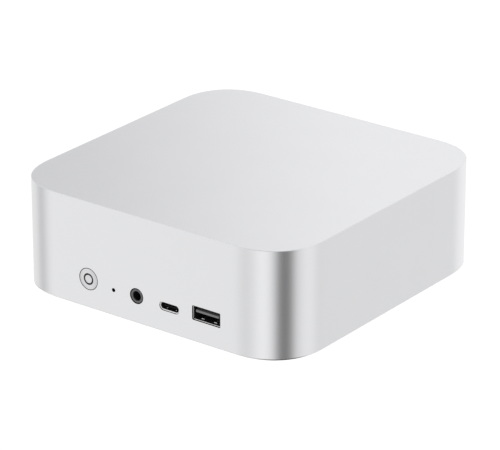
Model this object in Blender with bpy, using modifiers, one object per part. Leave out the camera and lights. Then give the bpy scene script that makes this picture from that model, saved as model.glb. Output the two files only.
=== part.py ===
"""A small square desktop computer, modelled as it comes apart on a bench.

A one-piece aluminium housing, open below, holds a board with its front and rear sockets, a blower
cooler and a screwed-on base with four rubber feet. The origin is on the desk under the middle of the
housing, +Z is up and the front faces -Y.
"""

import math
from dataclasses import dataclass, replace

import bmesh
import bpy
from mathutils import Matrix, Vector

MM = 0.001

# Gaps between pieces that touch, and how far a tool reaches past what it cuts or joins
SEAT_GAP = 0.3 * MM
SOCKET_GAP = 0.25 * MM
OVERLAP = 0.8 * MM
WELD = 1e-6

# Housing
CASE_SIDE = 135.0 * MM
SHELL_HEIGHT = 44.7 * MM
CORNER_RADIUS = 21.7 * MM
CORNER_REACH = 25.0 * MM
CORNER_PROFILE = 0.556
SHELL_WALL = 2.2 * MM
TOP_FILLET = 0.25 * MM
RIM_CHAMFER = 0.4 * MM
FOOT_LIFT = 2.0 * MM
CORNER_SEGMENTS = 12

HALF = CASE_SIDE / 2
RIM_Z = FOOT_LIFT
TOP_Z = RIM_Z + SHELL_HEIGHT
CEILING_Z = TOP_Z - SHELL_WALL
INNER_HALF = HALF - SHELL_WALL
INNER_RADIUS = CORNER_RADIUS - SHELL_WALL
CORNERS = {
    "front_left": (-1, -1),
    "front_right": (1, -1),
    "rear_left": (-1, 1),
    "rear_right": (1, 1),
}

# Screws: pan head and plain shank
SCREW_RADIUS = 1.2 * MM
SCREW_HEAD_RADIUS = 2.4 * MM
SCREW_HEAD_HEIGHT = 1.4 * MM
SCREW_LENGTH = 6.0 * MM
SCREW_HOLE_RADIUS = SCREW_RADIUS + SEAT_GAP
SCREW_HOLE_DEPTH = 8.0 * MM

# Base: cover, feet and dust filter
COVER_RECESS = 0.4 * MM
COVER_THICKNESS = 1.8 * MM
COVER_CHAMFER = 0.5 * MM
FOOT_OFFSET = 54.0 * MM
FOOT_RADIUS = 5.0 * MM
FOOT_POCKET_DEPTH = 1.0 * MM
CLAMP_WALL = 1.2 * MM
COVER_BOSS_RADIUS = 4.4 * MM
GRILLE_RADIUS = 44.0 * MM
GRILLE_PITCH = 6.6 * MM
GRILLE_SLOT = 3.0 * MM
GRILLE_SPINE = 5.0 * MM
FILTER_SIDE = 92.0 * MM
FILTER_THICKNESS = 0.6 * MM
FILTER_CELLS = 6
FILTER_BAR = 1.2 * MM

COVER_Z = RIM_Z + COVER_RECESS
COVER_TOP_Z = COVER_Z + COVER_THICKNESS
POCKET_CEILING_Z = COVER_Z + FOOT_POCKET_DEPTH
CLAMP_Z = POCKET_CEILING_Z + SCREW_HEAD_HEIGHT + SEAT_GAP
COVER_BOSS_TOP_Z = CLAMP_Z + CLAMP_WALL
POST_END_Z = COVER_BOSS_TOP_Z + SEAT_GAP
POST_RADIUS = 3.6 * MM
WEB_THICKNESS = 2.0 * MM

# Board and the bosses that carry it
SOCKET_FLOOR_Z = RIM_Z + 9.2 * MM
BOARD_TOP_Z = SOCKET_FLOOR_Z - SEAT_GAP
BOARD_THICKNESS = 1.4 * MM
BOARD_BOTTOM_Z = BOARD_TOP_Z - BOARD_THICKNESS
BOARD_HALF_WIDTH = 61.0 * MM
BOARD_FRONT_Y = -63.5 * MM
BOARD_REAR_Y = 62.5 * MM
BOARD_CHAMFER = 22.0 * MM
BOSS_X = 57.5 * MM
BOSS_Y = 30.0 * MM
BOSS_RADIUS = 3.0 * MM

# Front controls, seen from the front: across from the middle, and up from the housing's rim
JACK_INSET = 0.1 * MM
WIDE_INSET = 0.45 * MM
SLIM_INSET = 0.2 * MM
FRONT_GAP = 0.1 * MM
BUTTON_X = -27.63 * MM
BUTTON_Z = RIM_Z + 12.14 * MM
BUTTON_RADIUS = 4.33 * MM
BUTTON_GAP = 0.27 * MM
BUTTON_RECESS = 0.0 * MM
BUTTON_FLANGE_RADIUS = 5.8 * MM
BUTTON_FLANGE = 0.8 * MM
BUTTON_STEM_RADIUS = 2.2 * MM
BUTTON_STEM = 1.7 * MM
RING_RADIUS = 2.32 * MM
RING_WIDTH = 0.55 * MM
RING_DEPTH = 0.8 * MM
RING_GAP = 0.1 * MM
SWITCH_SIDE = 6.0 * MM
SWITCH_DEPTH = 3.6 * MM
SWITCH_BORE = 2.2 * MM
PLUNGER_RADIUS = 1.6 * MM
PLUNGER_LENGTH = 2.1 * MM
RESET_X = -15.14 * MM
RESET_Z = RIM_Z + 10.79 * MM
RESET_HOLE_RADIUS = 0.82 * MM
RESET_PLUNGER_RADIUS = 0.9 * MM
RESET_PLUNGER_START = 3.4 * MM
RESET_PLUNGER_LENGTH = 3.2 * MM
RESET_SWITCH_START = 4.5 * MM
RESET_SWITCH_WIDTH = 4.6 * MM
RESET_SWITCH_DEPTH = 3.5 * MM
RESET_SWITCH_BORE = 2.7 * MM

# Round jacks
AUDIO_X = -3.74 * MM
AUDIO_Z = RIM_Z + 11.32 * MM
AUDIO_COLLAR_RADIUS = 2.9 * MM
AUDIO_BORE_RADIUS = 1.9 * MM
AUDIO_BODY = Vector((6.6, 12.0, 4.5)) * MM
INLET_COLLAR_RADIUS = 3.9 * MM
INLET_BORE_RADIUS = 3.2 * MM
INLET_PIN_RADIUS = 1.0 * MM
INLET_BODY = Vector((9.0, 10.0, 10.0)) * MM
JACK_BACK_WALL = 2.0 * MM

# Rear panel
PANEL_OPENING_HALF = 44.9 * MM
PANEL_LOW_Z = RIM_Z + 5.5 * MM
PANEL_HIGH_Z = TOP_Z - 4.5 * MM
PANEL_CORNER = 3.0 * MM
PANEL_RECESS = 0.5 * MM
PANEL_THICKNESS = 2.8 * MM
FLANGE_REACH = 2.0 * MM
FLANGE_THICKNESS = 1.4 * MM
FLANGE_Y = INNER_HALF - SEAT_GAP
FLANGE_INNER_Y = FLANGE_Y - FLANGE_THICKNESS
VENT_COUNT = 17
VENT_PITCH = 4.9 * MM
VENT_WIDTH = 2.7 * MM
VENT_LOW_Z = 31.0 * MM
VENT_HIGH_Z = 40.2 * MM
REAR_MOUTH_Y = HALF - PANEL_RECESS - 0.2 * MM
REAR_PITCH_GAP = 1.7 * MM

# Metal-shelled sockets
SOCKET_WALL = 0.35 * MM
TONGUE_GAP = 0.15 * MM
TONGUE_BASE = 1.6 * MM
STACK_RISE = 7.8 * MM

# Network socket
NETWORK_BODY = Vector((15.9, 16.0, 13.4)) * MM
NETWORK_CAVITY = Vector((11.9, 12.5, 7.2)) * MM
NETWORK_CAVITY_UP = 3.2 * MM
LATCH_SLOT = Vector((6.2, 12.5, 2.0)) * MM
CONTACT_COUNT = 8
CONTACT_PITCH = 1.02 * MM
CONTACT = Vector((0.45, 7.0, 0.45)) * MM
CONTACT_BAR = Vector((9.4, 1.6, 1.2)) * MM
CONTACT_DROOP = math.radians(12)

# Processor and cooler
CHIP_Y = -6.0 * MM
SUBSTRATE = Vector((40.0, 36.0, 1.0)) * MM
DIE = Vector((22.0, 16.0, 0.6)) * MM
PLATE = Vector((48.0, 44.0, 5.0)) * MM
PIPE_RADIUS = 2.5 * MM
PIPE_STAGGER = 6.0 * MM
PIPE_RISE_X = 48.0 * MM
PIPE_BEND = 9.0 * MM
PIPE_FIN_Y = 57.6 * MM
PIPE_FIN_Z = 29.4 * MM
FINS = Vector((83.0, 10.7, 12.4)) * MM
FINS_REAR_Y = 63.0 * MM
FINS_LOW_Z = 28.6 * MM
FINS_BASE = 4.0 * MM
FINS_ROOF = 0.5 * MM
FIN_PITCH = 2.5 * MM
FIN_THICKNESS = 0.5 * MM

# Blower
BLOWER_X = -1.5 * MM
BLOWER_Y = -6.0 * MM
BLOWER_Z = 26.0 * MM
BLOWER_HEIGHT = 14.5 * MM
BLOWER_WALL = 1.5 * MM
BLOWER_FLOOR = 1.2 * MM
BLOWER_COVER = 1.0 * MM
BLOWER_INLET_RADIUS = 25.0 * MM
BLOWER_MOUTH_Y = 51.5 * MM
SCROLL_START = 35.5 * MM
SCROLL_END = 43.0 * MM
SCROLL_TONGUE = math.radians(150)
SCROLL_STEPS = 20
LEG_RADIUS = 2.5 * MM
LEGS = [(-32.0 * MM, 42.0 * MM), (32.0 * MM, 42.0 * MM), (BLOWER_X, -42.0 * MM)]
ROTOR_RADIUS = 33.0 * MM
ROTOR_DISC = 0.9 * MM
ROTOR_CLEARANCE = 0.9 * MM
HUB_RADIUS = 13.0 * MM
HUB_HEIGHT = 11.0 * MM
HUB_WALL = 1.2 * MM
BLADE_COUNT = 25
BLADE_INNER = 21.0 * MM
BLADE_OUTER = 32.6 * MM
BLADE_HEIGHT = 9.6 * MM
BLADE_THICKNESS = 0.7 * MM
BLADE_SWEEP = math.radians(-24)
SHAFT_RADIUS = 1.2 * MM
BEARING_BORE = 1.3 * MM
STATOR_RADIUS = 10.4 * MM
STATOR_NECK = 4.0 * MM

# Under the board
MEMORY_X = -17.5 * MM
MEMORY_MIDDLE_Y = -12.5 * MM
MEMORY_MODULE = Vector((67.6, 30.0, 1.2)) * MM
MEMORY_FROM_MIDDLE = 2.1 * MM
MEMORY_BAR = Vector((73.0, 6.4, 3.9)) * MM
MEMORY_BAR_OVERHANG = 2.4 * MM
MEMORY_ARM = Vector((2.4, 24.0, 3.0)) * MM
MEMORY_CHIP = Vector((9.0, 11.0, 2.6)) * MM
MEMORY_CHIPS = 4
MEMORY_CHIP_PITCH = 16.0 * MM
DRIVE_X = 37.0 * MM
DRIVE = Vector((22.0, 80.0, 0.8)) * MM
DRIVE_REAR_Y = 45.3 * MM
DRIVE_Z = 7.7 * MM
DRIVE_SOCKET = Vector((22.6, 8.0, 3.2)) * MM
DRIVE_SLOT_DEPTH = 4.6 * MM
DRIVE_CHIP = Vector((14.0, 16.0, 1.1)) * MM
SPREADER = Vector((22.0, 66.0, 0.6)) * MM
SPREADER_RIB = 0.3 * MM
WIRELESS = Vector((12.0, 16.0, 1.7)) * MM
WIRELESS_PLACE = (40.0 * MM, -40.0 * MM)
CELL_RADIUS = 10.0 * MM
CELL_HEIGHT = 3.2 * MM
CELL_PLACE = (-43.0 * MM, -38.0 * MM)
ANTENNA = Vector((8.0, 36.0, 0.4)) * MM
ANTENNA_X = 54.0 * MM

# Finishes: colour, roughness, metallic
FINISHES = {
    "satin_aluminium": ((0.75, 0.76, 0.77), 0.35, 1.0),
    "raw_aluminium": ((0.62, 0.63, 0.64), 0.40, 1.0),
    "plated_steel": ((0.60, 0.60, 0.61), 0.28, 1.0),
    "copper": ((0.80, 0.42, 0.27), 0.30, 1.0),
    "dark_plastic": ((0.030, 0.031, 0.033), 0.55, 0.0),
    "grey_plastic": ((0.14, 0.145, 0.15), 0.50, 0.0),
    "light_guide": ((0.10, 0.105, 0.11), 0.30, 0.0),
    "rubber": ((0.020, 0.020, 0.021), 0.85, 0.0),
    "board": ((0.012, 0.035, 0.030), 0.50, 0.0),
    "chip": ((0.020, 0.020, 0.022), 0.40, 0.0),
    "filter_mesh": ((0.045, 0.046, 0.048), 0.60, 0.0),
}

# Turns a shape made along Z to lie along another axis
TURN_TO = {
    "X": Matrix.Rotation(math.radians(90), 4, "Y"),
    "Y": Matrix.Rotation(math.radians(-90), 4, "X"),
    "Z": Matrix.Identity(4),
}
AXES = {"X": Vector((1, 0, 0)), "Y": Vector((0, 1, 0)), "Z": Vector((0, 0, 1))}


@dataclass(frozen=True)
class Socket:
    """A metal-shelled socket: where its middle is, its outer size and the tongue inside it.

    facing is -1 at the front and 1 at the rear. cut_corners lists the lower corners that are cut
    off, as -1 and 1 across, and with none listed all four are rounded.
    """

    name: str
    x: float
    z: float
    facing: int
    mouth: float
    width: float
    height: float
    depth: float
    corner: float
    corner_steps: int
    cut_corners: tuple
    tongue_width: float
    tongue_height: float
    tongue_reach: float
    tongue_up: float

    def at_depth(self, depth):
        """Return the y of a plane this deep behind the socket's mouth."""
        return self.facing * (self.mouth - depth)

    def fill(self, bm, grow, start, end):
        """Add the socket's outline, grown all round, between two depths behind its mouth."""
        size = (self.width + 2 * grow, abs(end - start), self.height + 2 * grow)
        centre = (self.x, self.at_depth((start + end) / 2), self.z)
        corner = max(self.corner + grow, 0.1 * MM)
        if self.cut_corners:
            block(bm, size, centre, corner, "Y", 1, self.is_cut_corner)
        else:
            block(bm, size, centre, corner, "Y", self.corner_steps)

    def is_cut_corner(self, middle):
        """Say whether an edge with this middle point is one of the cut corners."""
        side = 1 if middle.x > 0 else -1
        return middle.z < 0 and side in self.cut_corners


def wide_socket(name, x, z, facing, mouth):
    """Return the flat oblong data socket with one thick tongue above its middle."""
    return Socket(
        name, x, z, facing, mouth, width=13.0 * MM, height=5.6 * MM, depth=14.0 * MM,
        corner=0.5 * MM, corner_steps=2, cut_corners=(),
        tongue_width=11.1 * MM, tongue_height=1.2 * MM, tongue_reach=11.4 * MM, tongue_up=0.55 * MM,
    )


def slim_socket(name, x, z, facing, mouth):
    """Return the small round-ended data socket with a thin tongue in its middle."""
    return Socket(
        name, x, z, facing, mouth, width=8.9 * MM, height=3.1 * MM, depth=7.6 * MM,
        corner=1.5 * MM, corner_steps=4, cut_corners=(),
        tongue_width=6.7 * MM, tongue_height=0.7 * MM, tongue_reach=4.4 * MM, tongue_up=0.0,
    )


def rear_row():
    """Return the middle of each rear socket, spread along the panel from left to right."""
    widths = [
        ("network", NETWORK_BODY.x), ("stack", 13.0 * MM), ("tapered", 14.8 * MM),
        ("notched", 16.8 * MM), ("slim", 8.9 * MM), ("inlet", INLET_BODY.x),
    ]
    total = sum(width for _, width in widths) + REAR_PITCH_GAP * (len(widths) - 1)
    left = -total / 2
    places = {}
    for name, width in widths:
        places[name] = left + width / 2
        left += width + REAR_PITCH_GAP
    return places


REAR = rear_row()
FRONT_WIDE = replace(
    wide_socket("front_wide_socket", 30.02 * MM, RIM_Z + 11.96 * MM, -1, HALF - WIDE_INSET),
    width=13.3 * MM, height=5.9 * MM, tongue_height=1.1 * MM, tongue_up=0.72 * MM,
)
FRONT_SLIM = replace(
    slim_socket("front_slim_socket", 12.24 * MM, RIM_Z + 10.78 * MM, -1, HALF - SLIM_INSET),
    width=9.4 * MM, height=3.45 * MM, corner=1.68 * MM,
)
REAR_SLIM = slim_socket("rear_slim_socket", REAR["slim"], SOCKET_FLOOR_Z + 1.55 * MM, 1, REAR_MOUTH_Y)
TAPERED = Socket(
    "tapered_video_socket", REAR["tapered"], SOCKET_FLOOR_Z + 2.65 * MM, 1, REAR_MOUTH_Y,
    width=14.8 * MM, height=5.3 * MM, depth=11.5 * MM,
    corner=1.7 * MM, corner_steps=1, cut_corners=(-1, 1),
    tongue_width=10.2 * MM, tongue_height=1.1 * MM, tongue_reach=6.5 * MM, tongue_up=0.5 * MM,
)
NOTCHED = Socket(
    "notched_video_socket", REAR["notched"], SOCKET_FLOOR_Z + 2.8 * MM, 1, REAR_MOUTH_Y,
    width=16.8 * MM, height=5.6 * MM, depth=11.5 * MM,
    corner=2.0 * MM, corner_steps=1, cut_corners=(1,),
    tongue_width=11.6 * MM, tongue_height=1.2 * MM, tongue_reach=6.5 * MM, tongue_up=0.3 * MM,
)
STACK_LOWER = wide_socket("rear_stack_socket", REAR["stack"], SOCKET_FLOOR_Z + 2.8 * MM, 1, REAR_MOUTH_Y)
STACK_UPPER = wide_socket(
    "rear_stack_socket", REAR["stack"], SOCKET_FLOOR_Z + 2.8 * MM + STACK_RISE, 1, REAR_MOUTH_Y
)
STACK_HEIGHT = STACK_RISE + STACK_LOWER.height
STACK_Z = (STACK_LOWER.z + STACK_UPPER.z) / 2
AUDIO_HOLE_RADIUS = AUDIO_COLLAR_RADIUS + 3.5 * FRONT_GAP
INLET_Z = SOCKET_FLOOR_Z + INLET_BODY.z / 2
INLET_HOLE_RADIUS = INLET_COLLAR_RADIUS + SOCKET_GAP
ROTOR_Z = BLOWER_Z + BLOWER_FLOOR + ROTOR_CLEARANCE
SUBSTRATE_TOP_Z = SOCKET_FLOOR_Z + SUBSTRATE.z
DIE_TOP_Z = SUBSTRATE_TOP_Z + DIE.z - 0.1 * MM
PLATE_Z = DIE_TOP_Z + SEAT_GAP
PIPE_Z = PLATE_Z + PLATE.z - 0.5 * MM

for old in list(bpy.data.objects):
    bpy.data.objects.remove(old, do_unlink=True)

PARTS = bpy.data.collections.new("mini_pc")
TOOLS = bpy.data.collections.new("mini_pc_cutters")
bpy.context.scene.collection.children.link(PARTS)
bpy.context.scene.collection.children.link(TOOLS)


def finish(name):
    """Return the named finish as a material, made the first time it is asked for."""
    material = bpy.data.materials.get(name)
    if material is None:
        colour, roughness, metallic = FINISHES[name]
        material = bpy.data.materials.new(name)
        material.use_nodes = True
        material.diffuse_color = (*colour, 1.0)
        shader = material.node_tree.nodes["Principled BSDF"]
        shader.inputs["Base Color"].default_value = (*colour, 1.0)
        shader.inputs["Roughness"].default_value = roughness
        shader.inputs["Metallic"].default_value = metallic
    return material


def merge(bm, part):
    """Move every body of the bmesh part into bm."""
    mesh = bpy.data.meshes.new("part")
    part.to_mesh(mesh)
    part.free()
    bm.from_mesh(mesh)
    bpy.data.meshes.remove(mesh)


def block(bm, size, centre, radius=0.0, along="Z", steps=4, chosen=None, turn=0.0, profile=0.5):
    """Add a box, with its edges along one axis rounded, or only those that chosen accepts.

    One step cuts the edge off flat. turn swings the box about the Z axis through its centre. A profile
    over 0.5 eases the corners into the sides.
    """
    part = bmesh.new()
    bmesh.ops.create_cube(part, size=1.0)
    bmesh.ops.scale(part, vec=Vector(size), verts=part.verts)
    if radius > 0.0:
        edges = []
        for edge in part.edges:
            run = (edge.verts[1].co - edge.verts[0].co).normalized()
            middle = (edge.verts[0].co + edge.verts[1].co) / 2
            if abs(run.dot(AXES[along])) > 0.99 and (chosen is None or chosen(middle)):
                edges.append(edge)
        made = bmesh.ops.bevel(part, geom=edges, offset=radius, segments=steps, profile=profile, affect="EDGES")
        for face in made["faces"]:
            face.smooth = steps > 1
    place = Matrix.Translation(centre) @ Matrix.Rotation(turn, 4, "Z")
    bmesh.ops.transform(part, matrix=place, verts=part.verts)
    merge(bm, part)


def drum(bm, radius, length, centre, along="Z", sides=24):
    """Add a cylinder with its axis along one of the main axes."""
    place = Matrix.Translation(centre) @ TURN_TO[along]
    made = bmesh.ops.create_cone(
        bm, cap_ends=True, segments=sides, radius1=radius, radius2=radius, depth=length, matrix=place
    )
    for face in {face for vert in made["verts"] for face in vert.link_faces}:
        face.smooth = len(face.verts) == 4


def soften(bm, level, width, steps):
    """Bevel every edge that lies at this height."""
    edges = [edge for edge in bm.edges if all(abs(v.co.z - level) < WELD for v in edge.verts)]
    bmesh.ops.bevel(bm, geom=edges, offset=width, segments=steps, profile=0.5, affect="EDGES")


def outlined(bm, points, low, high):
    """Add a flat outline of (x, y) points, drawn out between two heights."""
    curve = bpy.data.curves.new("outline", "CURVE")
    curve.dimensions = "2D"
    curve.fill_mode = "BOTH"
    curve.extrude = (high - low) / 2
    spline = curve.splines.new("POLY")
    spline.points.add(len(points) - 1)
    for point, (x, y) in zip(spline.points, points):
        point.co = (x, y, 0.0, 1.0)
    spline.use_cyclic_u = True
    guide = bpy.data.objects.new("outline", curve)
    TOOLS.objects.link(guide)
    graph = bpy.context.evaluated_depsgraph_get()
    mesh = bpy.data.meshes.new_from_object(guide.evaluated_get(graph))
    bpy.data.objects.remove(guide)
    bpy.data.curves.remove(curve)
    part = bmesh.new()
    part.from_mesh(mesh)
    bpy.data.meshes.remove(mesh)
    bmesh.ops.remove_doubles(part, verts=part.verts, dist=WELD)
    bmesh.ops.recalc_face_normals(part, faces=part.faces)
    bmesh.ops.translate(part, vec=(0.0, 0.0, (low + high) / 2), verts=part.verts)
    merge(bm, part)


def place(name, data, material, parent=None):
    """Link an object for this data among the parts, in the named finish."""
    made = bpy.data.objects.new(name, data)
    PARTS.objects.link(made)
    data.materials.append(finish(material))
    made.parent = parent
    return made


def piece(name, bm, material, parent=None):
    """Make an object of the bodies gathered in bm."""
    mesh = bpy.data.meshes.new(name)
    bm.to_mesh(mesh)
    bm.free()
    return place(name, mesh, material, parent)


def alter(target, bm, step, operation="DIFFERENCE"):
    """Cut the bodies in bm out of the target, or join them to it with UNION."""
    mesh = bpy.data.meshes.new(f"{target.name}_{step}")
    bm.to_mesh(mesh)
    bm.free()
    tool = bpy.data.objects.new(mesh.name, mesh)
    TOOLS.objects.link(tool)
    tool.parent = target.parent
    tool.hide_render = True
    tool.display_type = "WIRE"
    modifier = target.modifiers.new(step, "BOOLEAN")
    modifier.operation = operation
    modifier.solver = "EXACT"
    modifier.object = tool


def turned(name, profile, material, steps=24, parent=None, at=(0.0, 0.0, 0.0)):
    """Spin (radius, height) points about Z. They run down the outer side, from the top.

    A profile that starts off the axis is closed into a ring.
    """
    mesh = bpy.data.meshes.new(name)
    count = len(profile)
    edges = [(i, i + 1) for i in range(count - 1)]
    if profile[0][0] > 0.0:
        edges.append((count - 1, 0))
    mesh.from_pydata([(radius, 0.0, height) for radius, height in profile], edges, [])
    made = place(name, mesh, material, parent)
    made.location = at
    screw = made.modifiers.new("turn", "SCREW")
    screw.angle = 2 * math.pi
    screw.steps = steps
    screw.render_steps = steps
    screw.use_merge_vertices = True
    screw.merge_threshold = WELD
    screw.use_smooth_shade = True
    return made


def pipe(name, corners, material):
    """Lay a bent metal pipe through these corner points."""
    points = bent(corners, PIPE_BEND)
    curve = bpy.data.curves.new(name, "CURVE")
    curve.dimensions = "3D"
    curve.bevel_depth = PIPE_RADIUS
    curve.bevel_resolution = 2
    curve.use_fill_caps = True
    spline = curve.splines.new("POLY")
    spline.points.add(len(points) - 1)
    for point, co in zip(spline.points, points):
        point.co = (*co, 1.0)
    return place(name, curve, material)


def bent(corners, reach, steps=5):
    """Return the path through corner points, with each corner rounded over a reach to both sides."""
    path = [Vector(corners[0])]
    for before, corner, after in zip(corners, corners[1:], corners[2:]):
        corner = Vector(corner)
        start = corner + (Vector(before) - corner).normalized() * reach
        end = corner + (Vector(after) - corner).normalized() * reach
        for i in range(steps + 1):
            t = i / steps
            path.append(start * (1 - t) ** 2 + corner * 2 * t * (1 - t) + end * t ** 2)
    path.append(Vector(corners[-1]))
    return path


def axis(name, location, tilt=0.0):
    """Add the empty that a moving body's pieces hang on, tilted about X."""
    made = bpy.data.objects.new(name, None)
    PARTS.objects.link(made)
    made.location = location
    made.rotation_euler = (tilt, 0.0, 0.0)
    return made


def at_corners(offset_x, offset_y):
    """Return the four points this far to the sides of the middle, by corner name."""
    return {name: (sx * offset_x, sy * offset_y) for name, (sx, sy) in CORNERS.items()}


def unibody_shell():
    """The housing: one aluminium block, hollowed from below, with posts and bosses on its ceiling."""
    bm = bmesh.new()
    middle = (0.0, 0.0, (RIM_Z + TOP_Z) / 2)
    size = (CASE_SIDE, CASE_SIDE, SHELL_HEIGHT)
    block(bm, size, middle, CORNER_REACH, "Z", CORNER_SEGMENTS, profile=CORNER_PROFILE)
    soften(bm, TOP_Z, TOP_FILLET, 2)
    soften(bm, RIM_Z, RIM_CHAMFER, 1)
    shell = piece("unibody_shell", bm, "satin_aluminium")

    hollow = bmesh.new()
    low = RIM_Z - OVERLAP
    size = (2 * INNER_HALF, 2 * INNER_HALF, CEILING_Z - low)
    block(hollow, size, (0.0, 0.0, (low + CEILING_Z) / 2), INNER_RADIUS, "Z", CORNER_SEGMENTS)
    alter(shell, hollow, "hollow")

    columns = bmesh.new()
    webs = bmesh.new()
    holes = bmesh.new()
    roof = CEILING_Z + OVERLAP
    for x, y in at_corners(FOOT_OFFSET, FOOT_OFFSET).values():
        drum(columns, POST_RADIUS, roof - POST_END_Z, (x, y, (roof + POST_END_Z) / 2), sides=16)
        reach = (HALF - CORNER_RADIUS - FOOT_OFFSET) * math.sqrt(2) + INNER_RADIUS + OVERLAP
        low = POST_END_Z + OVERLAP
        out = Vector((x, y, 0.0)).normalized() * reach / 2
        centre = Vector((x, y, (roof + low) / 2)) + out
        block(webs, (reach, WEB_THICKNESS, roof - low), centre, turn=math.atan2(y, x))
        drum(holes, SCREW_HOLE_RADIUS, 2 * SCREW_HOLE_DEPTH, (x, y, POST_END_Z), sides=12)
    for x, y in at_corners(BOSS_X, BOSS_Y).values():
        drum(columns, BOSS_RADIUS, roof - SOCKET_FLOOR_Z, (x, y, (roof + SOCKET_FLOOR_Z) / 2), sides=16)
        reach = INNER_HALF + OVERLAP - BOSS_X
        low = SOCKET_FLOOR_Z + OVERLAP
        centre = (math.copysign(BOSS_X + reach / 2, x), y, (roof + low) / 2)
        block(webs, (reach, WEB_THICKNESS, roof - low), centre)
        drum(holes, SCREW_HOLE_RADIUS, 2 * SCREW_HOLE_DEPTH, (x, y, SOCKET_FLOOR_Z), sides=12)
    alter(shell, columns, "columns", "UNION")
    alter(shell, webs, "webs", "UNION")
    alter(shell, holes, "screw_holes")

    through = 2 * (SHELL_WALL + OVERLAP)
    front = bmesh.new()
    drum(front, BUTTON_RADIUS + BUTTON_GAP, through, (BUTTON_X, -HALF, BUTTON_Z), "Y", 24)
    drum(front, RESET_HOLE_RADIUS, through, (RESET_X, -HALF, RESET_Z), "Y", 12)
    drum(front, AUDIO_HOLE_RADIUS, through, (AUDIO_X, -HALF, AUDIO_Z), "Y", 24)
    for socket in (FRONT_WIDE, FRONT_SLIM):
        socket.fill(front, FRONT_GAP, -through / 2, through / 2)
    alter(shell, front, "front_openings")

    rear = bmesh.new()
    size = (2 * PANEL_OPENING_HALF, through, PANEL_HIGH_Z - PANEL_LOW_Z)
    block(rear, size, (0.0, HALF, (PANEL_HIGH_Z + PANEL_LOW_Z) / 2), PANEL_CORNER, "Y", 3)
    alter(shell, rear, "rear_opening")


def bottom_cover():
    """The base plate: a slotted intake, and pockets where each foot hides a screw."""
    side = 2 * (INNER_HALF - SEAT_GAP)
    bm = bmesh.new()
    middle = (0.0, 0.0, (COVER_Z + COVER_TOP_Z) / 2)
    block(bm, (side, side, COVER_THICKNESS), middle, INNER_RADIUS - SEAT_GAP, "Z", CORNER_SEGMENTS)
    soften(bm, COVER_Z, COVER_CHAMFER, 1)
    cover = piece("bottom_cover", bm, "dark_plastic")

    bosses = bmesh.new()
    pockets = bmesh.new()
    heads = bmesh.new()
    shanks = bmesh.new()
    for x, y in at_corners(FOOT_OFFSET, FOOT_OFFSET).values():
        low = COVER_TOP_Z - OVERLAP / 2
        drum(bosses, COVER_BOSS_RADIUS, COVER_BOSS_TOP_Z - low, (x, y, (COVER_BOSS_TOP_Z + low) / 2), sides=16)
        drum(pockets, FOOT_RADIUS + SEAT_GAP, 2 * FOOT_POCKET_DEPTH, (x, y, COVER_Z), sides=18)
        head = CLAMP_Z - COVER_Z
        drum(heads, SCREW_HEAD_RADIUS + SEAT_GAP, 2 * head, (x, y, COVER_Z), sides=16)
        drum(shanks, SCREW_HOLE_RADIUS, 2 * SCREW_HOLE_DEPTH, (x, y, COVER_Z), sides=12)
    alter(cover, bosses, "screw_bosses", "UNION")
    alter(cover, pockets, "foot_pockets")
    alter(cover, heads, "head_pockets")
    alter(cover, shanks, "shank_holes")

    slots = bmesh.new()
    rows = int(GRILLE_RADIUS / GRILLE_PITCH)
    for row in range(-rows, rows + 1):
        y = row * GRILLE_PITCH
        reach = math.sqrt(GRILLE_RADIUS ** 2 - y ** 2)
        length = reach - GRILLE_SPINE / 2
        for side in (-1, 1):
            centre = (side * (GRILLE_SPINE / 2 + length / 2), y, COVER_Z)
            block(slots, (length, GRILLE_SLOT, 3 * COVER_THICKNESS), centre, 0.49 * GRILLE_SLOT, "Z", 2)
    alter(cover, slots, "intake_slots")


def dust_filter():
    """The filter on the inside of the base: a thin frame with square cells."""
    low = COVER_TOP_Z + SEAT_GAP
    bm = bmesh.new()
    block(bm, (FILTER_SIDE, FILTER_SIDE, FILTER_THICKNESS), (0.0, 0.0, low + FILTER_THICKNESS / 2))
    frame = piece("dust_filter", bm, "filter_mesh")
    pitch = (FILTER_SIDE - FILTER_BAR) / FILTER_CELLS
    cells = bmesh.new()
    for column in range(FILTER_CELLS):
        for row in range(FILTER_CELLS):
            x = (column - (FILTER_CELLS - 1) / 2) * pitch
            y = (row - (FILTER_CELLS - 1) / 2) * pitch
            size = (pitch - FILTER_BAR, pitch - FILTER_BAR, 4 * FILTER_THICKNESS)
            block(cells, size, (x, y, low))
    alter(frame, cells, "cells")


def foot(name, x, y):
    """A round rubber foot with a rounded tread, let into its pocket over a screw."""
    top = POCKET_CEILING_Z - SEAT_GAP
    edge = 0.6 * MM
    profile = [
        (0.0, top), (FOOT_RADIUS, top), (FOOT_RADIUS, edge), (FOOT_RADIUS - 0.3 * edge, 0.3 * edge),
        (FOOT_RADIUS - edge, 0.0), (0.0, 0.0),
    ]
    turned(f"foot_{name}", profile, "rubber", 18, at=(x, y, 0.0))


def screw(name, x, y, head_z):
    """A pan-head screw whose head starts at this height, with its shank upwards."""
    bevel = 0.4 * MM
    profile = [
        (0.0, SCREW_HEAD_HEIGHT + SCREW_LENGTH),
        (SCREW_RADIUS, SCREW_HEAD_HEIGHT + SCREW_LENGTH),
        (SCREW_RADIUS, SCREW_HEAD_HEIGHT),
        (SCREW_HEAD_RADIUS, SCREW_HEAD_HEIGHT),
        (SCREW_HEAD_RADIUS, bevel),
        (SCREW_HEAD_RADIUS - bevel, 0.0),
        (0.0, 0.0),
    ]
    turned(name, profile, "plated_steel", 10, at=(x, y, head_z))


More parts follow.
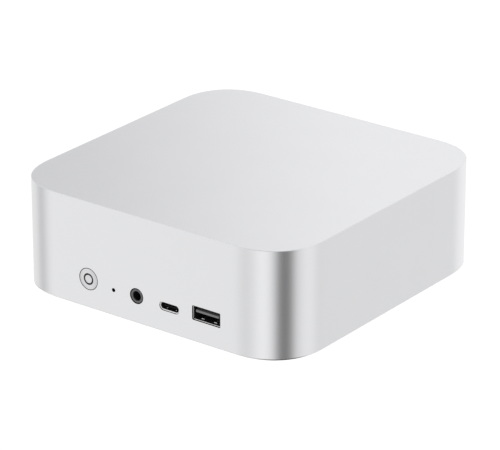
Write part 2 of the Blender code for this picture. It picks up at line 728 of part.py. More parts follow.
def feet_and_screws():
    """Four feet, the screws they hide, and the four screws that hold the board to its bosses."""
    for name, (x, y) in at_corners(FOOT_OFFSET, FOOT_OFFSET).items():
        foot(name, x, y)
        screw(f"cover_screw_{name}", x, y, CLAMP_Z - SEAT_GAP - SCREW_HEAD_HEIGHT)
    for name, (x, y) in at_corners(BOSS_X, BOSS_Y).items():
        screw(f"board_screw_{name}", x, y, BOARD_BOTTOM_Z - SEAT_GAP - SCREW_HEAD_HEIGHT)


def power_button():
    """The button: a flanged cap with a ring groove, its light ring, and the switch behind it.

    Heights are along the button's axis, outwards from the front face.
    """
    hub = axis("power_button_axis", (BUTTON_X, -HALF, BUTTON_Z), math.radians(90))
    face = -BUTTON_RECESS
    flange = -(SHELL_WALL + SEAT_GAP)
    stem = flange - BUTTON_FLANGE
    end = stem - BUTTON_STEM
    groove_out = RING_RADIUS + RING_GAP
    groove_in = RING_RADIUS - RING_WIDTH - RING_GAP
    floor = face - RING_DEPTH - RING_GAP
    edge = 0.15 * MM
    cap = [
        (0.0, face), (groove_in, face), (groove_in, floor), (groove_out, floor), (groove_out, face),
        (BUTTON_RADIUS - edge, face), (BUTTON_RADIUS, face - edge), (BUTTON_RADIUS, flange),
        (BUTTON_FLANGE_RADIUS, flange), (BUTTON_FLANGE_RADIUS, stem), (BUTTON_STEM_RADIUS, stem),
        (BUTTON_STEM_RADIUS, end), (0.0, end),
    ]
    turned("power_button", cap, "satin_aluminium", 24, hub)
    inner = RING_RADIUS - RING_WIDTH
    ring = [
        (RING_RADIUS, face), (RING_RADIUS, face - RING_DEPTH), (inner, face - RING_DEPTH), (inner, face),
    ]
    turned("power_light_ring", ring, "light_guide", 24, hub)
    start = end - SEAT_GAP
    tip = start - PLUNGER_LENGTH
    plunger = [(0.0, start), (PLUNGER_RADIUS, start), (PLUNGER_RADIUS, tip), (0.0, tip)]
    turned("power_switch_plunger", plunger, "grey_plastic", 16, hub)

    front_y = -HALF - tip - SWITCH_BORE + 2 * SEAT_GAP + 0.5 * MM
    bm = bmesh.new()
    centre = (BUTTON_X, front_y + SWITCH_DEPTH / 2, SOCKET_FLOOR_Z + SWITCH_SIDE / 2)
    block(bm, (SWITCH_SIDE, SWITCH_DEPTH, SWITCH_SIDE), centre, 0.4 * MM, "Y", 1)
    body = piece("power_switch", bm, "chip")
    bore = bmesh.new()
    drum(bore, PLUNGER_RADIUS + SEAT_GAP, 2 * SWITCH_BORE, (BUTTON_X, front_y, BUTTON_Z), "Y", 16)
    alter(body, bore, "plunger_bore")


def reset_switch():
    """The recessed reset switch behind its pinhole, and the plunger that a pin pushes."""
    hub = axis("reset_axis", (RESET_X, -HALF, RESET_Z), math.radians(90))
    start = -RESET_PLUNGER_START
    tip = start - RESET_PLUNGER_LENGTH
    radius = RESET_PLUNGER_RADIUS
    plunger = [(0.0, start), (radius, start), (radius, tip), (0.0, tip)]
    turned("reset_plunger", plunger, "grey_plastic", 12, hub)

    front_y = -HALF + RESET_SWITCH_START
    height = RESET_Z + RESET_SWITCH_WIDTH / 3 - SOCKET_FLOOR_Z
    bm = bmesh.new()
    centre = (RESET_X, front_y + RESET_SWITCH_DEPTH / 2, SOCKET_FLOOR_Z + height / 2)
    block(bm, (RESET_SWITCH_WIDTH, RESET_SWITCH_DEPTH, height), centre, 0.3 * MM, "Y", 1)
    body = piece("reset_switch", bm, "chip")
    bore = bmesh.new()
    drum(bore, radius + SEAT_GAP, 2 * RESET_SWITCH_BORE, (RESET_X, front_y, RESET_Z), "Y", 12)
    alter(body, bore, "plunger_bore")


def jack(name, x, z, facing, mouth, collar, bore, size):
    """A jack with a round collar through its wall, a boxed body behind the wall and a blind bore."""
    wall = INNER_HALF if facing < 0 else FLANGE_INNER_Y
    wall_back = wall - SEAT_GAP
    bm = bmesh.new()
    centre = (x, facing * (wall_back - size.y / 2), SOCKET_FLOOR_Z + size.z / 2)
    block(bm, size, centre, 0.5 * MM, "Y", 1)
    body = piece(name, bm, "dark_plastic")
    nose = bmesh.new()
    length = mouth - wall_back + OVERLAP
    drum(nose, collar, length, (x, facing * (mouth - length / 2), z), "Y", 24)
    alter(body, nose, "collar", "UNION")
    hole = bmesh.new()
    depth = mouth - wall_back + size.y - JACK_BACK_WALL
    drum(hole, bore, 2 * depth, (x, facing * mouth, z), "Y", 20)
    alter(body, hole, "bore")
    return facing * (mouth - depth)


def round_jacks():
    """The headphone jack at the front, and the power inlet with its centre pin at the rear."""
    jack("front_audio_jack", AUDIO_X, AUDIO_Z, -1, HALF - JACK_INSET, AUDIO_COLLAR_RADIUS, AUDIO_BORE_RADIUS,
         AUDIO_BODY)
    x = REAR["inlet"]
    back_y = jack("power_inlet", x, INLET_Z, 1, REAR_MOUTH_Y, INLET_COLLAR_RADIUS, INLET_BORE_RADIUS,
                  INLET_BODY)
    low = back_y + SEAT_GAP
    high = REAR_MOUTH_Y - 2.0 * MM
    bm = bmesh.new()
    drum(bm, INLET_PIN_RADIUS, high - low, (x, (low + high) / 2, INLET_Z), "Y", 16)
    piece("power_inlet_pin", bm, "plated_steel")


def shelled_socket(socket):
    """A drawn metal shell, open at its mouth, and the plastic tongue that stands in it."""
    bm = bmesh.new()
    socket.fill(bm, 0.0, 0.0, socket.depth)
    shell = piece(f"{socket.name}_shell", bm, "plated_steel")
    hollow = bmesh.new()
    back = socket.depth - 2 * SOCKET_WALL
    socket.fill(hollow, -SOCKET_WALL, -OVERLAP, back)
    alter(shell, hollow, "hollow")

    inset = -(SOCKET_WALL + TONGUE_GAP)
    start = back - TONGUE_GAP - TONGUE_BASE
    base = bmesh.new()
    socket.fill(base, inset, start, back - TONGUE_GAP)
    tongue = piece(f"{socket.name}_tongue", base, "grey_plastic")
    blade = bmesh.new()
    add_tongue(blade, socket, start)
    alter(tongue, blade, "blade", "UNION")


def add_tongue(bm, socket, base_start):
    """Add the tongue of a socket, reaching forward from its base at this depth."""
    low = base_start - socket.tongue_reach
    high = base_start + TONGUE_BASE / 2
    size = (socket.tongue_width, high - low, socket.tongue_height)
    centre = (socket.x, socket.at_depth((low + high) / 2), socket.z + socket.tongue_up)
    block(bm, size, centre, 0.25 * MM, "X", 1)


def stacked_socket():
    """Two wide data sockets in one shell, one above the other, with a tongue block behind both."""
    low = STACK_LOWER
    bm = bmesh.new()
    size = (low.width, low.depth, STACK_HEIGHT)
    block(bm, size, (low.x, low.at_depth(low.depth / 2), STACK_Z), low.corner, "Y", low.corner_steps)
    shell = piece("rear_stack_socket_shell", bm, "plated_steel")
    back = low.depth - 2 * SOCKET_WALL
    start = back - TONGUE_GAP - TONGUE_BASE
    for level, socket in (("lower", STACK_LOWER), ("upper", STACK_UPPER)):
        mouth = bmesh.new()
        socket.fill(mouth, -SOCKET_WALL, -OVERLAP, start)
        alter(shell, mouth, f"{level}_mouth")
    chamber = bmesh.new()
    size = Vector((low.width, back - start + TONGUE_GAP, STACK_HEIGHT))
    size -= Vector((2 * SOCKET_WALL, 0.0, 2 * SOCKET_WALL))
    block(chamber, size, (low.x, low.at_depth((back + start - TONGUE_GAP) / 2), STACK_Z))
    alter(shell, chamber, "chamber")

    base = bmesh.new()
    size -= Vector((2 * TONGUE_GAP, 3 * TONGUE_GAP, 2 * TONGUE_GAP))
    block(base, size, (low.x, low.at_depth(start + size.y / 2), STACK_Z))
    tongues = piece("rear_stack_socket_tongues", base, "grey_plastic")
    blades = bmesh.new()
    for socket in (STACK_LOWER, STACK_UPPER):
        add_tongue(blades, socket, start)
    alter(tongues, blades, "blades", "UNION")


def network_socket():
    """The network socket: a box with a stepped mouth for the plug and its latch, and a row of contacts."""
    x = REAR["network"]
    bm = bmesh.new()
    centre = (x, REAR_MOUTH_Y - NETWORK_BODY.y / 2, SOCKET_FLOOR_Z + NETWORK_BODY.z / 2)
    block(bm, NETWORK_BODY, centre)
    body = piece("network_socket", bm, "plated_steel")
    low = SOCKET_FLOOR_Z + NETWORK_CAVITY_UP
    for step, size, up in (("plug", NETWORK_CAVITY, low), ("latch", LATCH_SLOT, low - LATCH_SLOT.z + OVERLAP)):
        mouth = bmesh.new()
        reach = Vector((size.x, size.y + OVERLAP, size.z))
        block(mouth, reach, (x, REAR_MOUTH_Y + (OVERLAP - size.y) / 2, up + size.z / 2))
        alter(body, mouth, step)

    roof = low + NETWORK_CAVITY.z - SEAT_GAP
    back_y = REAR_MOUTH_Y - NETWORK_CAVITY.y + SEAT_GAP
    bar = bmesh.new()
    block(bar, CONTACT_BAR, (x, back_y + CONTACT_BAR.y / 2, roof - CONTACT_BAR.z / 2))
    contacts = piece("network_contacts", bar, "copper")
    springs = bmesh.new()
    for i in range(CONTACT_COUNT):
        part = bmesh.new()
        bmesh.ops.create_cube(part, size=1.0)
        bmesh.ops.scale(part, vec=CONTACT, verts=part.verts)
        bmesh.ops.translate(part, vec=(0.0, CONTACT.y / 2, 0.0), verts=part.verts)
        root = (x + (i - (CONTACT_COUNT - 1) / 2) * CONTACT_PITCH, back_y + CONTACT_BAR.y / 2,
                roof - CONTACT_BAR.z / 2)
        sweep = Matrix.Translation(root) @ Matrix.Rotation(-CONTACT_DROOP, 4, "X")
        bmesh.ops.transform(part, matrix=sweep, verts=part.verts)
        merge(springs, part)
    alter(contacts, springs, "springs", "UNION")


def rear_panel():
    """The rear panel, let into the housing from inside, with a row of vents over the socket openings."""
    outer_y = HALF - PANEL_RECESS
    inner_y = outer_y - PANEL_THICKNESS
    middle_z = (PANEL_LOW_Z + PANEL_HIGH_Z) / 2
    width = 2 * (PANEL_OPENING_HALF - SEAT_GAP)
    height = PANEL_HIGH_Z - PANEL_LOW_Z - 2 * SEAT_GAP
    bm = bmesh.new()
    centre = (0.0, (outer_y + inner_y) / 2, middle_z)
    block(bm, (width, PANEL_THICKNESS, height), centre, PANEL_CORNER - SEAT_GAP, "Y", 3)
    panel = piece("rear_panel", bm, "dark_plastic")
    flange = bmesh.new()
    size = (width + 2 * FLANGE_REACH, FLANGE_THICKNESS, height + 2 * FLANGE_REACH)
    block(flange, size, (0.0, (FLANGE_Y + FLANGE_INNER_Y) / 2, middle_z), PANEL_CORNER, "Y", 3)
    alter(panel, flange, "flange", "UNION")

    through = 2 * (PANEL_THICKNESS + FLANGE_THICKNESS + OVERLAP)
    mouths = bmesh.new()
    for socket in (REAR_SLIM, TAPERED, NOTCHED):
        socket.fill(mouths, SOCKET_GAP, -through / 2, through / 2)
    size = (STACK_LOWER.width + 2 * SOCKET_GAP, through, STACK_HEIGHT + 2 * SOCKET_GAP)
    block(mouths, size, (STACK_LOWER.x, outer_y, STACK_Z))
    size = (NETWORK_BODY.x + 2 * SOCKET_GAP, through, NETWORK_BODY.z + 2 * SOCKET_GAP)
    block(mouths, size, (REAR["network"], outer_y, SOCKET_FLOOR_Z + NETWORK_BODY.z / 2))
    drum(mouths, INLET_HOLE_RADIUS, through, (REAR["inlet"], outer_y, INLET_Z), "Y", 24)
    alter(panel, mouths, "socket_openings")

    vents = bmesh.new()
    for i in range(VENT_COUNT):
        x = (i - (VENT_COUNT - 1) / 2) * VENT_PITCH
        size = (VENT_WIDTH, through, VENT_HIGH_Z - VENT_LOW_Z)
        block(vents, size, (x, outer_y, (VENT_LOW_Z + VENT_HIGH_Z) / 2), 0.49 * VENT_WIDTH, "Y", 2)
    alter(panel, vents, "vents")


def main_board():
    """The board, with its corners cut off to clear the posts, screwed up against the housing's bosses."""
    bm = bmesh.new()
    size = (2 * BOARD_HALF_WIDTH, BOARD_REAR_Y - BOARD_FRONT_Y, BOARD_THICKNESS)
    centre = (0.0, (BOARD_REAR_Y + BOARD_FRONT_Y) / 2, BOARD_TOP_Z - BOARD_THICKNESS / 2)
    block(bm, size, centre, BOARD_CHAMFER, "Z", 1)
    board = piece("main_board", bm, "board")
    holes = bmesh.new()
    for x, y in at_corners(BOSS_X, BOSS_Y).values():
        drum(holes, SCREW_HOLE_RADIUS, 4 * BOARD_THICKNESS, (x, y, BOARD_TOP_Z), sides=12)
    alter(board, holes, "screw_holes")


def processor():
    """The processor: a bare die on its substrate."""
    bm = bmesh.new()
    block(bm, SUBSTRATE, (0.0, CHIP_Y, SOCKET_FLOOR_Z + SUBSTRATE.z / 2), 1.0 * MM, "Z", 1)
    chip = piece("processor", bm, "board")
    die = bmesh.new()
    block(die, DIE, (0.0, CHIP_Y, DIE_TOP_Z - DIE.z / 2))
    alter(chip, die, "die", "UNION")


def cooler():
    """The cold plate, the two heat pipes that lie in it, and the fin stack they run to."""
    bm = bmesh.new()
    block(bm, PLATE, (0.0, CHIP_Y, PLATE_Z + PLATE.z / 2), 3.0 * MM, "Z", 2)
    plate = piece("cold_plate", bm, "copper")
    grooves = bmesh.new()
    for side, name in ((-1, "heat_pipe_left"), (1, "heat_pipe_right")):
        y = CHIP_Y + side * PIPE_STAGGER
        drum(grooves, PIPE_RADIUS + SEAT_GAP, 2 * PLATE.x, (0.0, y, PIPE_Z), "X", 16)
        corners = [
            (-side * 20.0 * MM, y, PIPE_Z),
            (side * PIPE_RISE_X, y, PIPE_Z),
            (side * PIPE_RISE_X, 38.0 * MM, PIPE_FIN_Z),
            (side * PIPE_RISE_X, PIPE_FIN_Y, PIPE_FIN_Z),
            (side * 3.0 * MM, PIPE_FIN_Y, PIPE_FIN_Z),
        ]
        pipe(name, corners, "copper")
    alter(plate, grooves, "pipe_grooves")

    bm = bmesh.new()
    block(bm, FINS, (0.0, FINS_REAR_Y - FINS.y / 2, FINS_LOW_Z + FINS.z / 2))
    stack = piece("fin_stack", bm, "raw_aluminium")
    gaps = bmesh.new()
    count = int((FINS.x - FIN_THICKNESS) / FIN_PITCH)
    low = FINS_LOW_Z + FINS_BASE
    high = FINS_LOW_Z + FINS.z - FINS_ROOF
    for i in range(count):
        x = (i - (count - 1) / 2) * FIN_PITCH
        size = (FIN_PITCH - FIN_THICKNESS, 2 * FINS.y, high - low)
        block(gaps, size, (x, FINS_REAR_Y - FINS.y / 2, (low + high) / 2))
    alter(stack, gaps, "fin_gaps")
    groove = bmesh.new()
    drum(groove, PIPE_RADIUS + SEAT_GAP, 2 * FINS.x, (0.0, PIPE_FIN_Y, PIPE_FIN_Z), "X", 16)
    alter(stack, groove, "pipe_groove")


def scroll(grow, mouth_y):
    """Return the blower's plan: a spiral round the rotor that opens into a straight mouth."""
    points = []
    for i in range(SCROLL_STEPS + 1):
        share = i / SCROLL_STEPS
        angle = SCROLL_TONGUE + share * (2 * math.pi - SCROLL_TONGUE)
        radius = SCROLL_START + share * (SCROLL_END - SCROLL_START) + grow
        points.append((BLOWER_X + radius * math.cos(angle), BLOWER_Y + radius * math.sin(angle)))
    side = points[-1][0]
    points += [(side, mouth_y), (-side, mouth_y)]
    return points


def blower():
    """The blower: a spiral housing on legs, its cover, the bladed rotor and the stator with its bearing."""
    top = BLOWER_Z + BLOWER_HEIGHT
    bm = bmesh.new()
    outlined(bm, scroll(BLOWER_WALL, BLOWER_MOUTH_Y), BLOWER_Z, top)
    housing = piece("blower_housing", bm, "dark_plastic")
    inside = bmesh.new()
    outlined(inside, scroll(0.0, BLOWER_MOUTH_Y + OVERLAP), BLOWER_Z + BLOWER_FLOOR, top + OVERLAP)
    alter(housing, inside, "scroll")
    legs = bmesh.new()
    high = BLOWER_Z + BLOWER_FLOOR / 2
    for x, y in LEGS:
        drum(legs, LEG_RADIUS, high - SOCKET_FLOOR_Z, (x, y, (high + SOCKET_FLOOR_Z) / 2), sides=12)
    alter(housing, legs, "legs", "UNION")

    bm = bmesh.new()
    low = top + SEAT_GAP
    outlined(bm, scroll(BLOWER_WALL, BLOWER_MOUTH_Y), low, low + BLOWER_COVER)
    cover = piece("blower_cover", bm, "raw_aluminium")
    inlet = bmesh.new()
    drum(inlet, BLOWER_INLET_RADIUS, 4 * BLOWER_COVER, (BLOWER_X, BLOWER_Y, low), sides=36)
    alter(cover, inlet, "inlet")

    hub = axis("blower_axis", (BLOWER_X, BLOWER_Y, ROTOR_Z))
    roof = HUB_HEIGHT - HUB_WALL
    shaft_end = 1.0 * MM
    profile = [
        (0.0, HUB_HEIGHT), (HUB_RADIUS - HUB_WALL, HUB_HEIGHT), (HUB_RADIUS, roof), (HUB_RADIUS, ROTOR_DISC),
        (ROTOR_RADIUS, ROTOR_DISC), (ROTOR_RADIUS, 0.0), (HUB_RADIUS - HUB_WALL, 0.0),
        (HUB_RADIUS - HUB_WALL, roof), (SHAFT_RADIUS, roof), (SHAFT_RADIUS, shaft_end), (0.0, shaft_end),
    ]
    rotor = turned("blower_rotor", profile, "dark_plastic", 32, hub)
    blades = bmesh.new()
    for i in range(BLADE_COUNT):
        add_blade(blades, 2 * math.pi * i / BLADE_COUNT)
    alter(rotor, blades, "blades", "UNION")

    base = BLOWER_Z + BLOWER_FLOOR + SEAT_GAP
    stator_top = ROTOR_Z + roof - SEAT_GAP - base
    waist = ROTOR_DISC + ROTOR_CLEARANCE
    profile = [
        (BEARING_BORE, stator_top), (STATOR_NECK, stator_top), (STATOR_NECK, stator_top - 1.0 * MM),
        (STATOR_RADIUS, stator_top - 1.0 * MM), (STATOR_RADIUS, waist), (STATOR_NECK, waist),
        (STATOR_NECK, 0.6 * MM), (STATOR_RADIUS, 0.6 * MM), (STATOR_RADIUS, 0.0), (BEARING_BORE, 0.0),
    ]
    turned("blower_stator", profile, "copper", 16, at=(BLOWER_X, BLOWER_Y, base))


def add_blade(bm, start):
    """Add one swept blade, standing on the rotor's disc, that begins at this angle."""
    part = bmesh.new()
    bmesh.ops.create_cube(part, size=1.0)
    runs = [edge for edge in part.edges if abs(edge.verts[0].co.x - edge.verts[1].co.x) > 0.5]
    bmesh.ops.subdivide_edges(part, edges=runs, cuts=2, use_grid_fill=True)
    for vert in part.verts:
        share = vert.co.x + 0.5
        radius = BLADE_INNER + share * (BLADE_OUTER - BLADE_INNER)
        angle = start + BLADE_SWEEP * share + vert.co.y * BLADE_THICKNESS / radius
        height = ROTOR_DISC / 2 + (vert.co.z + 0.5) * BLADE_HEIGHT
        vert.co = (radius * math.cos(angle), radius * math.sin(angle), height)
    merge(bm, part)


def memory():
    """Two memory modules, face to face under the board, each with its edge in a socket with side arms."""
    top = BOARD_BOTTOM_Z - SEAT_GAP
    for name, side in (("a", -1), ("b", 1)):
        inner = MEMORY_MIDDLE_Y + side * MEMORY_FROM_MIDDLE
        outer = inner + side * MEMORY_MODULE.y
        bar_y = outer + side * (MEMORY_BAR_OVERHANG - MEMORY_BAR.y / 2)
        bm = bmesh.new()
        block(bm, MEMORY_BAR, (MEMORY_X, bar_y, top - MEMORY_BAR.z / 2))
        socket = piece(f"memory_socket_{name}", bm, "chip")
        arms = bmesh.new()
        for hand in (-1, 1):
            x = MEMORY_X + hand * (MEMORY_BAR.x - MEMORY_ARM.x) / 2
            y = bar_y - side * (MEMORY_BAR.y / 2 + MEMORY_ARM.y / 2 - OVERLAP)
            block(arms, MEMORY_ARM, (x, y, top - MEMORY_ARM.z / 2))
        alter(socket, arms, "arms", "UNION")
        level = top - MEMORY_BAR.z / 2
        slot = bmesh.new()
        size = MEMORY_MODULE + Vector((2, 2, 2)) * SEAT_GAP
        block(slot, size, (MEMORY_X, (inner + outer) / 2, level))
        alter(socket, slot, "slot")

        bm = bmesh.new()
        block(bm, MEMORY_MODULE, (MEMORY_X, (inner + outer) / 2, level))
        module = piece(f"memory_module_{name}", bm, "board")
        chips = bmesh.new()
        for i in range(MEMORY_CHIPS):
            x = MEMORY_X + (i - (MEMORY_CHIPS - 1) / 2) * MEMORY_CHIP_PITCH
            block(chips, MEMORY_CHIP, (x, inner + side * 10.0 * MM, level))
        alter(module, chips, "chips", "UNION")


def storage():
    """The flat drive under the board, its socket, and the ribbed plate that spreads its heat."""
    bm = bmesh.new()
    socket_y = DRIVE_REAR_Y + SEAT_GAP - DRIVE_SLOT_DEPTH + DRIVE_SOCKET.y / 2
    top = BOARD_BOTTOM_Z - SEAT_GAP
    block(bm, DRIVE_SOCKET, (DRIVE_X, socket_y, top - DRIVE_SOCKET.z / 2))
    socket = piece("storage_socket", bm, "chip")
    middle = (DRIVE_X, DRIVE_REAR_Y - DRIVE.y / 2, DRIVE_Z)
    slot = bmesh.new()
    block(slot, (2 * DRIVE.x, DRIVE.y + 2 * SEAT_GAP, DRIVE.z + 2 * SEAT_GAP), middle)
    alter(socket, slot, "slot")

    bm = bmesh.new()
    block(bm, DRIVE, middle)
    drive = piece("storage_drive", bm, "board")
    chips = bmesh.new()
    chip_low = DRIVE_Z - DRIVE.z / 2 - DRIVE_CHIP.z + 0.1 * MM
    for i in (-1, 0, 1):
        y = DRIVE_REAR_Y - DRIVE.y / 2 - 6.0 * MM + i * 1.3 * DRIVE_CHIP.y
        block(chips, DRIVE_CHIP, (DRIVE_X, y, chip_low + DRIVE_CHIP.z / 2))
    alter(drive, chips, "chips", "UNION")

    bm = bmesh.new()
    level = chip_low - SEAT_GAP - SPREADER.z / 2
    y = DRIVE_REAR_Y - DRIVE.y / 2 - 6.0 * MM
    block(bm, SPREADER, (DRIVE_X, y, level), 1.0 * MM, "Z", 1)
    spreader = piece("storage_heat_spreader", bm, "raw_aluminium")
    ribs = bmesh.new()
    for i in range(-3, 4):
        x = DRIVE_X + i * SPREADER.x / 8
        block(ribs, (SPREADER.x / 16, 2 * SPREADER.y, 2 * SPREADER_RIB), (x, y, level - SPREADER.z / 2))
    alter(spreader, ribs, "rib_gaps")


def small_parts():
    """The wireless module and backup cell on the board, and the two antennas inside the base."""
    bm = bmesh.new()
    block(bm, WIRELESS, (*WIRELESS_PLACE, SOCKET_FLOOR_Z + WIRELESS.z / 2), 0.6 * MM, "Z", 1)
    piece("wireless_module", bm, "plated_steel")
    edge = 0.4 * MM
    profile = [
        (0.0, CELL_HEIGHT), (CELL_RADIUS - 2 * edge, CELL_HEIGHT), (CELL_RADIUS, CELL_HEIGHT - edge),
        (CELL_RADIUS, edge), (CELL_RADIUS - edge, 0.0), (0.0, 0.0),
    ]
    turned("backup_cell", profile, "plated_steel", 20, at=(*CELL_PLACE, SOCKET_FLOOR_Z))
    for name, side in (("left", -1), ("right", 1)):
        bm = bmesh.new()
        block(bm, ANTENNA, (side * ANTENNA_X, 0.0, COVER_TOP_Z + SEAT_GAP + ANTENNA.z / 2), 1.0 * MM, "Z", 1)
        piece(f"antenna_{name}", bm, "board")


def main():
    """Build every piece in the order it would go together."""
    unibody_shell()
    rear_panel()
    power_button()
    reset_switch()
    round_jacks()
    for socket in (FRONT_WIDE, FRONT_SLIM, REAR_SLIM, TAPERED, NOTCHED):
        shelled_socket(socket)
    stacked_socket()
    network_socket()
    main_board()
    processor()
    cooler()
    blower()
    memory()
    storage()
    small_parts()
    dust_filter()
    bottom_cover()
    feet_and_screws()


main()
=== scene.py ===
"""Looks of a small square desktop computer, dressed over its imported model.

Each sub-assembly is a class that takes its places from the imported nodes, models its finer pieces with
Blender's edit-mode tools and gives every surface a procedural finish. Lengths are metres, +Z is up and
the front faces -Y.
"""

import logging
import math
from dataclasses import dataclass
from enum import Enum
from itertools import pairwise
from typing import Callable, ClassVar, Iterable, Self

import bmesh
import bpy
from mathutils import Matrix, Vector


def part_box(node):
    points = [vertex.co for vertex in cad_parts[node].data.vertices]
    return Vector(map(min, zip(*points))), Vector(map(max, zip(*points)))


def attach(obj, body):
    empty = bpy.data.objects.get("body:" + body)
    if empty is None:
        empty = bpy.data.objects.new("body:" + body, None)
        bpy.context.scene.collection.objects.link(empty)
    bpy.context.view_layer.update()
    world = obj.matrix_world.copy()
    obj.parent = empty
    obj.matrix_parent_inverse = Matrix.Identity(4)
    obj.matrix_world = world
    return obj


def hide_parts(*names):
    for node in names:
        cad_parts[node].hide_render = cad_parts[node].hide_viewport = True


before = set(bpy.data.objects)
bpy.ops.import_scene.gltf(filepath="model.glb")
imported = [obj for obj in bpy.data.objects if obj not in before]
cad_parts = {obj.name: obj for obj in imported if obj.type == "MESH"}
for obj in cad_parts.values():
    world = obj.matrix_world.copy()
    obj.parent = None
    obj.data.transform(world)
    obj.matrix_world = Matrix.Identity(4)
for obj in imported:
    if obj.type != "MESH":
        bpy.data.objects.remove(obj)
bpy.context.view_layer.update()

LOG = logging.getLogger("mini_pc")
MM = 0.001
X, Y, Z = range(3)
NEAR = 1e-6  # points nearer than this are one point
SHARP = math.radians(30)  # an edge over this angle stays sharp
OVERRUN = 1.0 * MM  # how far a tool runs past what it cuts
EVEN = (1.0, 1.0, 1.0)  # no stretch
SHADE = (0.02, 0.02, 0.021)  # the aluminium's colour where it lies in shade
FEET = [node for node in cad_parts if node.startswith("foot_")]

Colour = tuple[float, float, float]
Pair = tuple[float, float]
Number = "float | Value"
Edge = bmesh.types.BMEdge
EdgeTest = Callable[[Edge], bool]
FaceTest = Callable[[bmesh.types.BMFace], bool]
Socket = bpy.types.NodeSocket


class Body(Enum):
    """The rigid bodies that new pieces ride on."""

    CHASSIS = "chassis"
    BUTTON = "power_button"


class Slot(Enum):
    """Names of material slots, passed to new pieces but not read."""

    SATIN = "satin_aluminium"
    STEEL = "plated_steel"
    COPPER = "copper"
    DARK = "dark_plastic"
    GREY = "grey_plastic"
    GUIDE = "light_guide"
    RUBBER = "rubber"
    MESH = "filter_mesh"


class Facing(Enum):
    """The way a turned or socket-like piece opens, as the tilt about X that takes +Z there."""

    UP = 0.0
    FRONT = math.pi / 2
    REAR = -math.pi / 2

    @property
    def sign(self) -> int:
        """The direction along Y: -1 for the front and 1 for the rear."""
        return -1 if self is Facing.FRONT else 1

    def ends(self, low: Vector, high: Vector) -> Pair:
        """Return the y of a box's open end and of its closed end."""
        return (low.y, high.y) if self is Facing.FRONT else (high.y, low.y)


class Combine(Enum):
    """What a tool does to a piece."""

    CUT = "DIFFERENCE"
    JOIN = "UNION"


class Corners(Enum):
    """How the lower corners of a socket's shell are made."""

    ROUND = "round"
    TAPERED = "tapered"
    NOTCHED = "notched"


def math_operator(operation: str, reflected: bool = False) -> "Callable[[Value, Number], Value]":
    """Return a method that puts a Math node on a value and another operand.

    Args:
        operation: The Math node's operation.
        reflected: Whether the other operand comes first.

    Returns:
        The method.
    """
    def method(self: "Value", other: Number) -> "Value":
        """Return the Math node's result."""
        operands = (other, self) if reflected else (self, other)
        return self.graph.value("ShaderNodeMath", {"operation": operation}, dict(enumerate(operands)))

    return method


class Value:
    """A number socket that takes part in Python arithmetic, adding a Math node for each operation."""

    def __init__(self, graph: "Graph", socket: Socket) -> None:
        """Wrap an output socket that carries a number."""
        self.graph = graph
        self.socket = socket

    __add__, __radd__ = math_operator("ADD"), math_operator("ADD", reflected=True)
    __sub__, __rsub__ = math_operator("SUBTRACT"), math_operator("SUBTRACT", reflected=True)
    __mul__, __rmul__ = math_operator("MULTIPLY"), math_operator("MULTIPLY", reflected=True)
    above = math_operator("GREATER_THAN")
    larger = math_operator("MAXIMUM")
    arctan2 = math_operator("ARCTAN2")

    def unsigned(self) -> "Value":
        """Return self without its sign."""
        return self.larger(-1.0 * self)

    def wrapped(self, period: float) -> "Value":
        """Return self wrapped into the range from 0 to a period."""
        return self.graph.value("ShaderNodeMath", {"operation": "WRAP"}, {0: self, 1: period, 2: 0.0})

    def eased(self, low: float, high: float) -> "Value":
        """Return 0 below low, 1 above high and a smooth step between them."""
        sockets = {"Value": self, "From Min": low, "From Max": high}
        return self.graph.value("ShaderNodeMapRange", {"interpolation_type": "SMOOTHSTEP"}, sockets)


